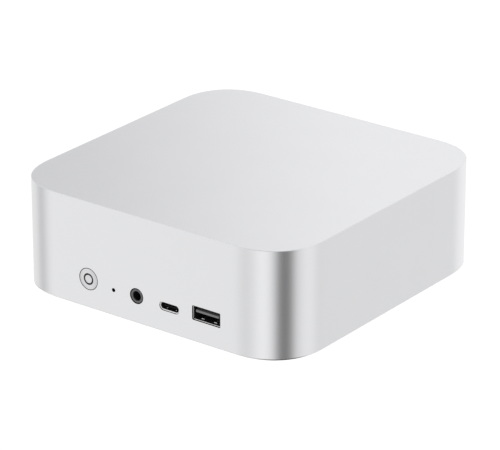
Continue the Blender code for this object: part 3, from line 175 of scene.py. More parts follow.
class Graph:
    """A node tree, written as expressions."""

    def __init__(self, tree: bpy.types.NodeTree) -> None:
        """Take over a node tree and empty it."""
        self.tree = tree
        tree.nodes.clear()

    def node(self, kind: str, settings: dict, sockets: dict) -> bpy.types.Node:
        """Add a node.

        Args:
            kind: The node's type.
            settings: The node's own settings, which are set first.
            sockets: Values or links for its input sockets, by name or number.

        Returns:
            The new node.
        """
        made = self.tree.nodes.new(kind)
        for key, value in settings.items():
            setattr(made, key, value)
        for key, value in sockets.items():
            self.feed(made.inputs[key], value)
        return made

    def value(self, kind: str, settings: dict, sockets: dict, output: int = 0) -> Value:
        """Add a node and return one of its outputs as a value."""
        return Value(self, self.node(kind, settings, sockets).outputs[output])

    def feed(self, socket: Socket, value: object) -> None:
        """Link or set an input socket.

        Args:
            socket: The input socket.
            value: A Value, an output socket, or a plain number, colour or vector.
        """
        if isinstance(value, Value):
            self.tree.links.new(value.socket, socket)
        elif isinstance(value, Socket):
            self.tree.links.new(value, socket)
        else:
            socket.default_value = (*value, 1.0) if socket.type == "RGBA" else value

    def place(self, stretch: Colour = EVEN) -> Socket:
        """Return the Object coordinates, stretched along each axis.

        Args:
            stretch: Factors on x, y and z.

        Returns:
            A vector socket.
        """
        where = self.node("ShaderNodeTexCoord", {}, {}).outputs["Object"]
        if stretch == EVEN:
            return where
        return self.node("ShaderNodeMapping", {}, {"Vector": where, "Scale": stretch}).outputs[0]

    def along(self, axis: int) -> Value:
        """Return one of the Object coordinates as a number."""
        return self.value("ShaderNodeSeparateXYZ", {}, {0: self.place()}, axis)

    def noise(self, size: float, detail: float = 2.0, stretch: Colour = EVEN) -> Value:
        """Return noise from 0 to 1, with features of a size; a small stretch factor draws them out."""
        sockets = {"Vector": self.place(stretch), "Scale": 1.0 / size, "Detail": detail}
        return self.value("ShaderNodeTexNoise", {}, sockets)

    def mix(self, factor: Number, first: object, second: object) -> Socket:
        """Return a colour between two, the first where the factor is 0 and the second where it is 1."""
        node = self.node("ShaderNodeMix", {"data_type": "RGBA"}, {0: factor, 6: first, 7: second})
        return node.outputs[2]

    def bump(self, height: Value, depth: float, strength: float) -> Socket:
        """Return a normal for a relief from 0 to 1 of a real depth, which it follows with a strength."""
        sockets = {"Height": height, "Distance": depth, "Strength": strength}
        return self.node("ShaderNodeBump", {}, sockets).outputs[0]

    def surface(self, **sockets: object) -> None:
        """End the tree in a Principled shader.

        Args:
            sockets: Values or links for its sockets, spaces written as underscores.
        """
        named = {key.replace("_", " "): value for key, value in sockets.items()}
        shader = self.node("ShaderNodeBsdfPrincipled", {}, named)
        self.node("ShaderNodeOutputMaterial", {}, {"Surface": shader.outputs[0]})

    def glow(self, colour: object, strength: float, world: bool = False) -> None:
        """End the tree in plain light.

        Args:
            colour: The light's colour, fixed or linked.
            strength: Its strength.
            world: Whether the tree is the world's.
        """
        kind = "ShaderNodeBackground" if world else "ShaderNodeEmission"
        end = "ShaderNodeOutputWorld" if world else "ShaderNodeOutputMaterial"
        shader = self.node(kind, {}, {"Color": colour, "Strength": strength})
        self.node(end, {}, {"Surface": shader.outputs[0]})


def toned(colour: Colour, factor: float, lift: float = 0.0) -> Colour:
    """Return a colour scaled by a factor, and lifted."""
    return tuple(factor * part + lift for part in colour)


def grey(level: float) -> Colour:
    """Return a plain grey."""
    return (level, level, level)


@dataclass(frozen=True)
class Finish:
    """A surface finish that is made into a material the first time it is used."""

    name: str
    made: ClassVar[dict["Finish", bpy.types.Material]] = {}

    def material(self) -> bpy.types.Material:
        """Make the finish if it is new.

        Returns:
            The finish as a material.
        """
        if self not in self.made:
            material = bpy.data.materials.new(self.name)
            material.use_nodes = True
            self.paint(Graph(material.node_tree))
            self.made[self] = material
        return self.made[self]

    def paint(self, graph: Graph) -> None:
        """Write the finish into an empty node tree."""
        raise NotImplementedError


@dataclass(frozen=True)
class BlastedAluminium(Finish):
    """Bead-blasted aluminium under clear anodising: a fine even grain with a soft sheen."""

    colour: Colour = (0.80, 0.803, 0.815)
    roughness: float = 0.30
    grain: float = 0.30 * MM
    cloud: float = 18.0 * MM
    relief: float = 0.006 * MM
    # front, span, band and the cut limits place painted shade on the cut walls of the front openings
    front: float = 0.0
    span: float = 40.0 * MM
    band: Pair = (6.0 * MM, 24.0 * MM)
    cut_start: Pair = (0.02 * MM, 0.08 * MM)
    cut_end: float = 6.0 * MM
    # rim and its limits place painted shade along the lower edge of the corners
    rim: float = 0.0
    rim_height: Pair = (0.3 * MM, 0.7 * MM)
    rim_corner: Pair = (51.0 * MM, 58.0 * MM)

    def paint(self, graph: Graph) -> None:
        """Write the finish into a node tree.

        Args:
            graph: The node tree, which is empty.
        """
        grain = graph.noise(self.grain, 3.0)
        cloud = graph.noise(self.cloud)
        metal = graph.mix(0.7 * grain + 0.3 * cloud, toned(self.colour, 0.95), toned(self.colour, 1.04))
        # Painted shade: the front openings' cut walls and the corners' lower edge are mixed towards SHADE.
        if self.front:
            metal = graph.mix(self.in_shade(graph), metal, SHADE)
        if self.rim:
            metal = graph.mix(0.8 * self.under_corners(graph), metal, SHADE)
        graph.surface(
            Base_Color=metal,
            Metallic=1.0,
            Roughness=self.roughness - 0.03 + 0.05 * grain + 0.02 * cloud,
            Normal=graph.bump(grain, self.relief, 0.35),
        )

    def in_shade(self, graph: Graph) -> Value:
        """Find the cut walls of openings in the front, where shade is painted dark onto the anodising.

        Args:
            graph: The node tree.

        Returns:
            1 on them, else 0.
        """
        depth = graph.along(Y) - self.front
        up = graph.along(Z)
        low, high = self.band
        cut = depth.eased(*self.cut_start) * (1.0 - depth.above(self.cut_end))
        beside = graph.along(X).unsigned().above(self.span)
        return cut * (1.0 - beside) * up.above(low) * (1.0 - up.above(high))

    def under_corners(self, graph: Graph) -> Value:
        """Find the lower edge of the corners, which lies in the shade of the floor.

        Args:
            graph: The node tree.

        Returns:
            1 on it, else 0.
        """
        start, end = self.rim_height
        edge = 1.0 - graph.along(Z).eased(self.rim + start, self.rim + end)
        side, front = (graph.along(axis).unsigned().eased(*self.rim_corner) for axis in (X, Y))
        return edge * side * front


@dataclass(frozen=True)
class MillAluminium(Finish):
    """Rolled aluminium with fine streaks along one axis."""

    colour: Colour = (0.64, 0.645, 0.655)
    roughness: float = 0.36
    streak: Colour = (0.03, 1.0, 1.0)
    streak_size: float = 0.4 * MM
    stain_size: float = 9.0 * MM
    relief: float = 0.01 * MM

    def paint(self, graph: Graph) -> None:
        """Write the finish into a node tree.

        Args:
            graph: The node tree, which is empty.
        """
        streaks = graph.noise(self.streak_size, 3.0, self.streak)
        stain = graph.noise(self.stain_size, 3.0)
        graph.surface(
            Base_Color=graph.mix(0.6 * streaks + 0.4 * stain, toned(self.colour, 0.82), self.colour),
            Metallic=1.0,
            Roughness=self.roughness + 0.16 * streaks - 0.06 * stain,
            Normal=graph.bump(streaks, self.relief, 0.5),
        )


@dataclass(frozen=True)
class PlatedSteel(Finish):
    """Nickel-plated sheet steel, with shadow painted dark behind a mouth at one end of the Y axis."""

    mouth: float = 0.0
    sign: int = 1
    shadow: float = 0.5 * MM
    lit: float = 0.08 * MM
    roof: float = 0.0
    roof_shade: float = 0.0
    roof_depth: float = 0.1 * MM
    colour: Colour = (0.84, 0.84, 0.845)
    # the colour of the painted shadow inside the socket
    inner: Colour = (0.012, 0.012, 0.013)
    roughness: float = 0.24
    streak: Colour = (1.0, 0.08, 1.0)
    streak_size: float = 0.25 * MM
    stain_size: float = 2.5 * MM
    relief: float = 0.006 * MM

    def paint(self, graph: Graph) -> None:
        """Write the finish into a node tree.

        Args:
            graph: The node tree, which is empty.
        """
        streaks = graph.noise(self.streak_size, 2.0, self.streak)
        stain = graph.noise(self.stain_size, 3.0)
        metal = graph.mix(0.5 * streaks + 0.5 * stain, toned(self.colour, 0.84), self.colour)
        metallic = 1.0
        roughness = self.roughness + 0.14 * streaks - 0.05 * stain
        # Painted shadow: behind the mouth the steel turns dark, less metallic and rougher.
        if self.mouth:
            inside = self.inside(graph)
            metal = graph.mix(inside, metal, self.inner)
            metallic = 1.0 - 0.6 * inside
            roughness = roughness + 0.3 * inside
        relief = graph.bump(streaks, self.relief, 0.4)
        graph.surface(Base_Color=metal, Metallic=metallic, Roughness=roughness, Normal=relief)

    def inside(self, graph: Graph) -> Value:
        """Find where shadow is painted: behind the mouth, or under the socket's roof.

        Args:
            graph: The node tree.

        Returns:
            The depth of the shadow, from 0 to 1.
        """
        depth = self.mouth - self.sign * graph.along(Y)
        inside = depth.eased(self.lit, self.shadow)
        if self.roof_shade:
            under = graph.along(Z).eased(self.roof - self.roof_depth, self.roof)
            inside = inside.larger(self.roof_shade * under)
        return inside


@dataclass(frozen=True)
class Copper(Finish):
    """Bare copper, brass or gold plating with a light tarnish."""

    colour: Colour = (0.86, 0.45, 0.29)
    tarnish: Colour = (0.46, 0.20, 0.11)
    roughness: float = 0.26
    bloom_size: float = 7.0 * MM
    fine_size: float = 0.5 * MM
    relief: float = 0.012 * MM

    def paint(self, graph: Graph) -> None:
        """Write the finish into a node tree.

        Args:
            graph: The node tree, which is empty.
        """
        bloom = graph.noise(self.bloom_size, 4.0)
        fine = graph.noise(self.fine_size, 3.0)
        aged = (bloom * 0.75 + fine * 0.25).eased(0.42, 0.72)
        graph.surface(
            Base_Color=graph.mix(aged, self.colour, self.tarnish),
            Metallic=1.0,
            Roughness=self.roughness + 0.22 * aged + 0.06 * fine,
            Normal=graph.bump(fine, self.relief, 0.35),
        )


@dataclass(frozen=True)
class MouldedPlastic(Finish):
    """Spark-textured moulded plastic with a little dust on its high points."""

    colour: Colour = (0.020, 0.0205, 0.022)
    roughness: float = 0.50
    texture: float = 0.35 * MM
    depth: float = 0.02 * MM
    gloss: float = 0.45
    flow_size: float = 14.0 * MM

    def paint(self, graph: Graph) -> None:
        """Write the finish into a node tree.

        Args:
            graph: The node tree, which is empty.
        """
        texture = graph.noise(self.texture, 3.0)
        flow = graph.noise(self.flow_size)
        dusty = toned(self.colour, 1.35, 0.006)
        graph.surface(
            Base_Color=graph.mix(0.55 * texture + 0.45 * flow, self.colour, dusty),
            Roughness=self.roughness + 0.14 * texture - 0.08 * flow,
            Specular_IOR_Level=self.gloss,
            Normal=graph.bump(texture, self.depth, 0.6),
        )


@dataclass(frozen=True)
class SmokedGuide(Finish):
    """A smoked light guide, unlit, with a faint cast texture and a glossy skin."""

    colour: Colour = (0.035, 0.037, 0.040)
    roughness: float = 0.30
    skin: float = 0.3
    texture: float = 0.6 * MM
    relief: float = 0.008 * MM

    def paint(self, graph: Graph) -> None:
        """Write the finish into a node tree.

        Args:
            graph: The node tree, which is empty.
        """
        cast = graph.noise(self.texture)
        graph.surface(
            Base_Color=graph.mix(cast, self.colour, toned(self.colour, 1.5)),
            Roughness=self.roughness + 0.1 * cast,
            Coat_Weight=self.skin * (1.0 + 0.6 * cast),
            Specular_IOR_Level=self.skin,
            Normal=graph.bump(cast, self.relief, 0.3),
        )


@dataclass(frozen=True)
class FootRubber(Finish):
    """Matt rubber with a fine bloom and scuffs on the tread."""

    colour: Colour = (0.016, 0.016, 0.017)
    scuff: Colour = (0.060, 0.058, 0.055)
    tread: float = 0.5 * MM
    bloom_size: float = 0.5 * MM
    scrape: Colour = (1.0, 0.35, 1.0)
    scrape_size: float = 1.6 * MM
    relief: float = 0.03 * MM

    def paint(self, graph: Graph) -> None:
        """Write the finish into a node tree.

        Args:
            graph: The node tree, which is empty.
        """
        bloom = graph.noise(self.bloom_size, 3.0)
        scrape = graph.noise(self.scrape_size, 4.0, self.scrape)
        worn = scrape.eased(0.48, 0.66) * (1.0 - graph.along(Z).eased(0.2 * self.tread, self.tread))
        graph.surface(
            Base_Color=graph.mix(worn * 0.7 + bloom * 0.2, self.colour, self.scuff),
            Roughness=0.72 + 0.18 * bloom,
            Specular_IOR_Level=0.35,
            Normal=graph.bump(bloom, self.relief, 0.5),
        )


@dataclass(frozen=True)
class SolderMask(Finish):
    """A circuit board: dark solder mask with raised traces, plated vias, and chips outside its thickness."""

    board: Pair = (-1.0, 1.0)
    chip: Colour = (0.012, 0.012, 0.013)
    chip_roughness: float = 0.45
    mask: Colour = (0.006, 0.020, 0.017)
    trace: Colour = (0.014, 0.046, 0.038)
    plating: Colour = (0.83, 0.62, 0.30)
    pitch: float = 2.4 * MM
    bundle_size: float = 16.0 * MM
    via_patch: float = 3.1 * MM
    weave_size: float = 0.5 * MM
    relief: float = 0.03 * MM

    def paint(self, graph: Graph) -> None:
        """Write the finish into a node tree.

        Args:
            graph: The node tree, which is empty.
        """
        across, over, up = (graph.along(axis) for axis in (X, Y, Z))
        bundle = graph.noise(self.bundle_size, 0.0).eased(0.46, 0.54)
        lanes = across * bundle + over * (1.0 - bundle)
        track = lanes.wrapped(0.5 * self.pitch).above(0.28 * self.pitch)
        cell_x, cell_y = (way.wrapped(self.pitch) - 0.5 * self.pitch for way in (across, over))
        span = cell_x * cell_x + cell_y * cell_y
        chosen = graph.noise(self.via_patch, 0.0).above(0.56)
        via = (1.0 - span.above((0.14 * self.pitch) ** 2)) * chosen
        weave = graph.noise(self.weave_size, 1.0)
        lacquer = graph.mix(track, self.mask, self.trace)
        low, high = self.board
        bare = up.above(low) * (1.0 - up.above(high))
        package = graph.mix(weave, self.chip, toned(self.chip, 1.5))
        rough_board = 0.42 + 0.12 * weave - 0.14 * via
        rough_chip = self.chip_roughness + 0.1 * weave
        graph.surface(
            Base_Color=graph.mix(bare, package, graph.mix(via, lacquer, self.plating)),
            Metallic=via * bare,
            Roughness=rough_board * bare + rough_chip * (1.0 - bare),
            Normal=graph.bump(track * bare * 0.7 + weave * 0.3, self.relief, 0.5),
        )


@dataclass(frozen=True)
class WovenStrand(Finish):
    """Black nylon strands with a fibre sheen and grey dust caught on them."""

    colour: Colour = (0.022, 0.022, 0.024)
    dust: Colour = (0.16, 0.155, 0.15)
    fibre_size: float = 0.12 * MM
    lint_size: float = 5.0 * MM
    relief: float = 0.02 * MM

    def paint(self, graph: Graph) -> None:
        """Write the finish into a node tree.

        Args:
            graph: The node tree, which is empty.
        """
        fibre = graph.noise(self.fibre_size)
        lint = graph.noise(self.lint_size, 4.0).eased(0.56, 0.78)
        graph.surface(
            Base_Color=graph.mix(lint * fibre, self.colour, self.dust),
            Roughness=0.5 + 0.3 * fibre,
            Normal=graph.bump(fibre, self.relief, 0.6),
        )


@dataclass(frozen=True)
class EvenLight(Finish):
    """A white surface that lights itself evenly."""

    level: float = 1.0

    def paint(self, graph: Graph) -> None:
        """Write the finish into an empty node tree."""
        graph.glow(grey(1.0), self.level)


@dataclass(frozen=True)
class GradedLight(Finish):
    """A surface that lights itself, dim at one end of a level direction and bright at the other."""

    way: Pair = (1.0, 0.0)
    span: Pair = (-0.11, 0.07)
    dim: Colour = (0.735, 0.735, 0.745)
    bright: Colour = (1.005, 1.005, 1.015)

    def paint(self, graph: Graph) -> None:
        """Write the finish into a node tree.

        Args:
            graph: The node tree, which is empty.
        """
        x, y = self.way
        share = (-1.0 * (graph.along(X) * x + graph.along(Y) * y)).eased(*self.span)
        graph.glow(graph.mix(share, self.dim, self.bright), 1.0)


class Workpiece:
    """A piece on the bench, shaped with Blender's edit-mode operators."""

    def __init__(self, obj: bpy.types.Object, name: str) -> None:
        """Take a new mesh object as the piece and name it."""
        self.obj = obj
        obj.name = obj.data.name = name

    @staticmethod
    def clear_bench() -> None:
        """Go to object mode with nothing selected."""
        if bpy.context.mode != "OBJECT":
            bpy.ops.object.mode_set(mode="OBJECT")
        bpy.ops.object.select_all(action="DESELECT")

    @classmethod
    def block(cls, name: str, low: Iterable[float], high: Iterable[float]) -> Self:
        """Start from a cube between two corners.

        Args:
            name: The piece's name.
            low: The lowest corner.
            high: The highest corner.

        Returns:
            The piece.
        """
        low, high = Vector(low), Vector(high)
        cls.clear_bench()
        bpy.ops.mesh.primitive_cube_add(size=1.0, location=(low + high) / 2)
        bpy.context.object.scale = high - low
        bpy.ops.object.transform_apply()
        return cls(bpy.context.object, name)

    @classmethod
    def bar(cls, name: str, x: float, half: float, ys: Pair, zs: Pair) -> Self:
        """Start from a cube as far to both sides of x, between two ys and two zs in any order."""
        (near, far), (low, high) = sorted(ys), sorted(zs)
        return cls.block(name, (x - half, near, low), (x + half, far, high))

    @classmethod
    def turned(
        cls, name: str, stations: list[Pair], base: Iterable[float], facing: Facing,
        sides: int, ring: bool = False,
    ) -> Self:
        """Draw a circle out through stations, as on a lathe.

        Args:
            name: The piece's name.
            stations: Radius and height of each station along the axis.
            base: The point on the axis at height 0.
            facing: The way the axis points.
            sides: How many sides the circle has.
            ring: Whether the profile closes on itself, with no caps.

        Returns:
            The piece.
        """
        cls.clear_bench()
        radius, height = stations[0]
        fill = "NOTHING" if ring else "NGON"
        bpy.ops.mesh.primitive_circle_add(
            vertices=sides, radius=radius, fill_type=fill, location=(0.0, 0.0, height)
        )
        bpy.ops.object.transform_apply()
        made = cls(bpy.context.object, name)
        bpy.ops.object.mode_set(mode="EDIT")
        bpy.ops.mesh.select_all(action="SELECT")
        path = stations + stations[:1] if ring else stations
        for (before, start), (after, end) in pairwise(path):
            made.extrude((0.0, 0.0, end - start))
            factor = after / before
            bpy.ops.transform.resize(value=(factor, factor, 1.0), center_override=(0.0, 0.0, end))
        made.tidy().pick()
        made.obj.rotation_euler = (facing.value, 0.0, 0.0)
        made.obj.location = base
        bpy.ops.object.transform_apply()
        return made

    @classmethod
    def rod(
        cls, name: str, radius: float, span: Pair, base: Iterable[float], facing: Facing, sides: int
    ) -> Self:
        """Turn a plain round tool of one radius, over a span of heights along the axis."""
        return cls.turned(name, [(radius, height) for height in span], base, facing, sides)

    def pick(self) -> Self:
        """Make this piece the active one, and the only one that is selected.

        Returns:
            The piece.
        """
        self.clear_bench()
        self.obj.select_set(True)
        bpy.context.view_layer.objects.active = self.obj
        return self

    def _select(self, kind: str, test: EdgeTest | FaceTest) -> Self:
        """Go to edit mode and select what passes a test.

        Args:
            kind: What is tested, "FACE" or "EDGE".
            test: The test.

        Returns:
            The piece.
        """
        self.pick()
        bpy.ops.object.mode_set(mode="EDIT")
        bpy.ops.mesh.select_mode(type=kind)
        bpy.ops.mesh.select_all(action="DESELECT")
        mesh = bmesh.from_edit_mesh(self.obj.data)
        for part in mesh.faces if kind == "FACE" else mesh.edges:
            part.select_set(test(part))
        bmesh.update_edit_mesh(self.obj.data)
        return self

    def faces(self, test: FaceTest) -> Self:
        """Select the faces that pass a test."""
        return self._select("FACE", test)

    def edges(self, test: EdgeTest) -> Self:
        """Select the edges that pass a test."""
        return self._select("EDGE", test)

    def inset(self, width: float) -> Self:
        """Inset the selected faces."""
        bpy.ops.mesh.inset(thickness=width, use_even_offset=True)
        return self

    def extrude(self, offset: Iterable[float]) -> Self:
        """Extrude what is selected by an offset."""
        bpy.ops.mesh.extrude_region_move(TRANSFORM_OT_translate={"value": tuple(offset)})
        return self

    def move(self, offset: Iterable[float]) -> Self:
        """Move what is selected by an offset."""
        bpy.ops.transform.translate(value=tuple(offset))
        return self

    def bevel(self, width: float, steps: int, profile: float = 0.5) -> Self:
        """Bevel the selected edges, with a profile over 0.5 for one that eases into its flats."""
        bpy.ops.mesh.bevel(offset=width, segments=steps, profile=profile, affect="EDGES", clamp_overlap=True)
        return self

    def tidy(self) -> Self:
        """Weld doubles and turn all faces outwards.

        Returns:
            The piece.
        """
        bpy.ops.mesh.select_all(action="SELECT")
        bpy.ops.mesh.remove_doubles(threshold=NEAR)
        bpy.ops.mesh.normals_make_consistent(inside=False)
        return self

    def modify(self, kind: str, **settings: object) -> Self:
        """Add a modifier and apply it.

        Args:
            kind: The modifier's type.
            settings: Its settings.

        Returns:
            The piece.
        """
        self.pick()
        bpy.ops.object.modifier_add(type=kind)
        modifier = self.obj.modifiers[-1]
        for key, value in settings.items():
            setattr(modifier, key, value)
        bpy.ops.object.modifier_apply(modifier=modifier.name)
        return self

    def combine(self, action: Combine, *tools: "Workpiece") -> Self:
        """Cut tools out of the piece or join them to it, and put the tools away.

        Args:
            action: Whether to cut or to join.
            tools: The tools, used one after the other.

        Returns:
            The piece.
        """
        for tool in tools:
            self.modify("BOOLEAN", operation=action.value, solver="EXACT", object=tool.obj)
            bpy.data.objects.remove(tool.obj)
        return self

    def gather(self, others: list["Workpiece"]) -> Self:
        """Take the bodies of other pieces into this one.

        Args:
            others: The other pieces.

        Returns:
            The piece.
        """
        self.pick()
        for other in others:
            other.obj.select_set(True)
        bpy.ops.object.join()
        return self

    def copy(self, offset: Iterable[float]) -> "Workpiece":
        """Copy the piece, with its own mesh.

        Args:
            offset: Where the copy is moved.

        Returns:
            The copy.
        """
        self.pick()
        bpy.ops.object.duplicate()
        made = Workpiece(bpy.context.object, f"{self.obj.name}_copy")
        made.obj.location = offset
        bpy.ops.object.transform_apply()
        return made

    def row(self, count: int, step: Iterable[float]) -> Self:
        """Repeat the piece by a step until there are this many, as bodies of one object."""
        copies = [self.copy([i * part for part in step]) for i in range(1, count)]
        return self.gather(copies)

    def settle(self, finish: Finish, slot: Slot, *nodes: str, body: Body = Body.CHASSIS) -> None:
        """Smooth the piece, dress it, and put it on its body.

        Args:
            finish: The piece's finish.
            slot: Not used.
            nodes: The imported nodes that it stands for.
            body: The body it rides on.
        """
        self.pick()
        bpy.ops.object.shade_smooth_by_angle(angle=SHARP)
        self.modify("WEIGHTED_NORMAL", keep_sharp=True, mode="FACE_AREA", weight=60)
        self.obj.data.materials.clear()
        self.obj.data.materials.append(finish.material())
        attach(self.obj, body.value)
        if nodes:
            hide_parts(*nodes)
        LOG.info("%s: %d faces on %s", self.obj.name, len(self.obj.data.polygons), body.value)


def flat_at(axis: int, level: float) -> FaceTest:
    """Return a test for faces square to an axis at a level."""
    return lambda face: abs(abs(face.normal[axis]) - 1.0) < 1e-3 and (
        abs(face.calc_center_median()[axis] - level) < 10 * NEAR
    )


def runs_along(axis: int) -> EdgeTest:
    """Make a test for edges that lie along an axis.

    Args:
        axis: The axis.

    Returns:
        The test.
    """
    def test(edge: Edge) -> bool:
        """Return whether an edge passes."""
        run = edge.verts[1].co - edge.verts[0].co
        return abs(run[axis]) > 0.999 * run.length

    return test


def lies_at(axis: int, level: float) -> EdgeTest:
    """Return a test for sharp edges whose ends are both at a level."""
    return lambda edge: (
        all(abs(vert.co[axis] - level) < 10 * NEAR for vert in edge.verts)
        and edge.calc_face_angle(0.0) > SHARP
    )


def both(first: EdgeTest, second: EdgeTest) -> EdgeTest:
    """Return a test that passes what both tests pass."""
    return lambda edge: first(edge) and second(edge)


def within(axis: int, limit: float) -> EdgeTest:
    """Return a test for edges whose ends are both nearer the middle than a limit."""
    return lambda edge: all(abs(vert.co[axis]) < limit for vert in edge.verts)


def faces_inward(centre: Vector) -> EdgeTest:
    """Make a test for edges of a wall that looks towards an axis along Y.

    Args:
        centre: A point on the axis.

    Returns:
        The test.
    """
    def test(edge: Edge) -> bool:
        """Return whether an edge passes."""
        inward = (centre - (edge.verts[0].co + edge.verts[1].co) / 2).xz
        return any(abs(face.normal.y) < 0.5 and face.normal.xz.dot(inward) > 0.0 for face in edge.link_faces)

    return test


def middle(node: str) -> Vector:
    """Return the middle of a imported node's box."""
    low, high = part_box(node)
    return (low + high) / 2


def half_width(node: str) -> float:
    """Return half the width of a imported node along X."""
    low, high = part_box(node)
    return (high.x - low.x) / 2


def below(node: str) -> Vector:
    """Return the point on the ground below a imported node's middle."""
    return Vector((*middle(node).xy, 0.0))


def axis_at(node: str, y: float) -> Vector:
    """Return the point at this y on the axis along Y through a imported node's middle."""
    at = middle(node)
    return Vector((at.x, y, at.z))


def dress(finish: Finish, *nodes: str) -> None:
    """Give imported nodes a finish, leaving their meshes alone.

    Args:
        finish: The finish.
        nodes: The nodes' names.
    """
    for node in nodes:
        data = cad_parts[node].data
        data.materials.clear()
        data.materials.append(finish.material())
        LOG.info("%s: packed node dressed", node)


@dataclass(frozen=True)
class Mill:
    """A tool for a socket's opening in the front: its corner, and the room below and above the shell."""

    node: str
    corner: float
    steps: int
    below: float
    above: float


@dataclass
class Housing:
    """The one-piece aluminium housing, with machined openings at the front and a wide one behind."""

    corner: float = 25.0 * MM
    corner_profile: float = 0.556
    corner_steps: int = 40
    top_fillet: float = 0.25 * MM
    rim_round: float = 0.4 * MM
    wall: float = 2.2 * MM
    front_span: float = 40.0 * MM
    front_break: float = 0.03 * MM
    rear_span: float = 46.0 * MM
    rear_break: float = 0.1 * MM
    button_gap: float = 0.27 * MM
    jack_gap: float = 0.35 * MM
    socket_gap: float = 0.1 * MM
    pinhole: float = 0.82 * MM
    post: float = 3.6 * MM
    post_lift: float = 3.2 * MM
    screw_hole: float = 1.6 * MM
    panel_gap: float = 0.3 * MM
    panel_corner: float = 3.0 * MM

    def build(self) -> None:
        """Model the housing, cut its openings and dress it."""
        low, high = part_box("unibody_shell")
        shell = Workpiece.block("housing", low, high)
        shell.edges(runs_along(Z)).bevel(self.corner, self.corner_steps, self.corner_profile)
        shell.edges(lies_at(Z, high.z)).bevel(self.top_fillet, 6)
        shell.edges(lies_at(Z, low.z)).bevel(self.rim_round, 4)
        shell.faces(flat_at(Z, low.z)).inset(self.wall - self.rim_round)
        shell.extrude((0.0, 0.0, high.z - self.wall - low.z))
        shell.combine(Combine.JOIN, *self.posts(high.z - self.wall / 2))
        shell.combine(Combine.CUT, *self.front_tools(low.y), self.rear_tool(high.y))
        for face, span, width in (
            (low.y, self.front_span, self.front_break), (high.y, self.rear_span, self.rear_break),
        ):
            shell.edges(both(lies_at(Y, face), within(X, span))).bevel(width, 2)
        # front and rim paint shade on the openings' cut walls and along the corners' lower edge
        metal = BlastedAluminium("housing_aluminium", front=low.y, rim=low.z)
        shell.settle(metal, Slot.SATIN, "unibody_shell")

    def posts(self, roof: float) -> list[Workpiece]:
        """Turn the posts that the base and the board are screwed to.

        Args:
            roof: The height that they reach into the ceiling.

        Returns:
            The posts, as tools to join.
        """
        tools = []
        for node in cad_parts:
            if node.startswith(("cover_screw", "board_screw")):
                low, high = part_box(node)
                foot = low.z + self.post_lift
                post = Workpiece.rod("post", self.post, (foot, roof), below(node), Facing.UP, 24)
                hole = (foot - OVERRUN, high.z + OVERRUN)
                drill = Workpiece.rod("drill", self.screw_hole, hole, below(node), Facing.UP, 24)
                tools.append(post.combine(Combine.CUT, drill))
        return tools

    def front_tools(self, face: float) -> list[Workpiece]:
        """Make the tools that cut the openings in the front wall.

        Args:
            face: The y of the front face.

        Returns:
            The tools.
        """
        tools = []
        for radius, axis, sides in (
            (
                half_width("power_button") - PowerButton.flange_reach + self.button_gap,
                axis_at("power_button", face), 96,
            ),
            (self.pinhole, axis_at("reset_plunger", face), 32),
            (HeadphoneJack.collar + self.jack_gap, HeadphoneJack.axis_point(face), 64),
        ):
            reach = (-2 * self.wall, self.wall)
            tools.append(Workpiece.rod("drill", radius, reach, axis, Facing.FRONT, sides))
        for mill in FRONT_MILLS:
            low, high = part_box(mill.node)
            low = Vector((low.x - self.socket_gap, face - self.wall, low.z - mill.below))
            high = Vector((high.x + self.socket_gap, face + 2 * self.wall, high.z + mill.above))
            tool = Workpiece.block("mill", low, high)
            tools.append(tool.edges(runs_along(Y)).bevel(mill.corner + self.socket_gap, mill.steps))
        return tools

    def rear_tool(self, face: float) -> Workpiece:
        """Make the tool that cuts the opening for the rear panel.

        Args:
            face: The y of the rear face.

        Returns:
            The tool.
        """
        low, high = RearPanel.plate_box()
        grow = Vector((self.panel_gap, 0.0, self.panel_gap))
        low = Vector((low.x, face - 2 * self.wall, low.z)) - grow
        high = Vector((high.x, face + self.wall, high.z)) + grow
        return Workpiece.block("rear_mill", low, high).edges(runs_along(Y)).bevel(self.panel_corner, 8)


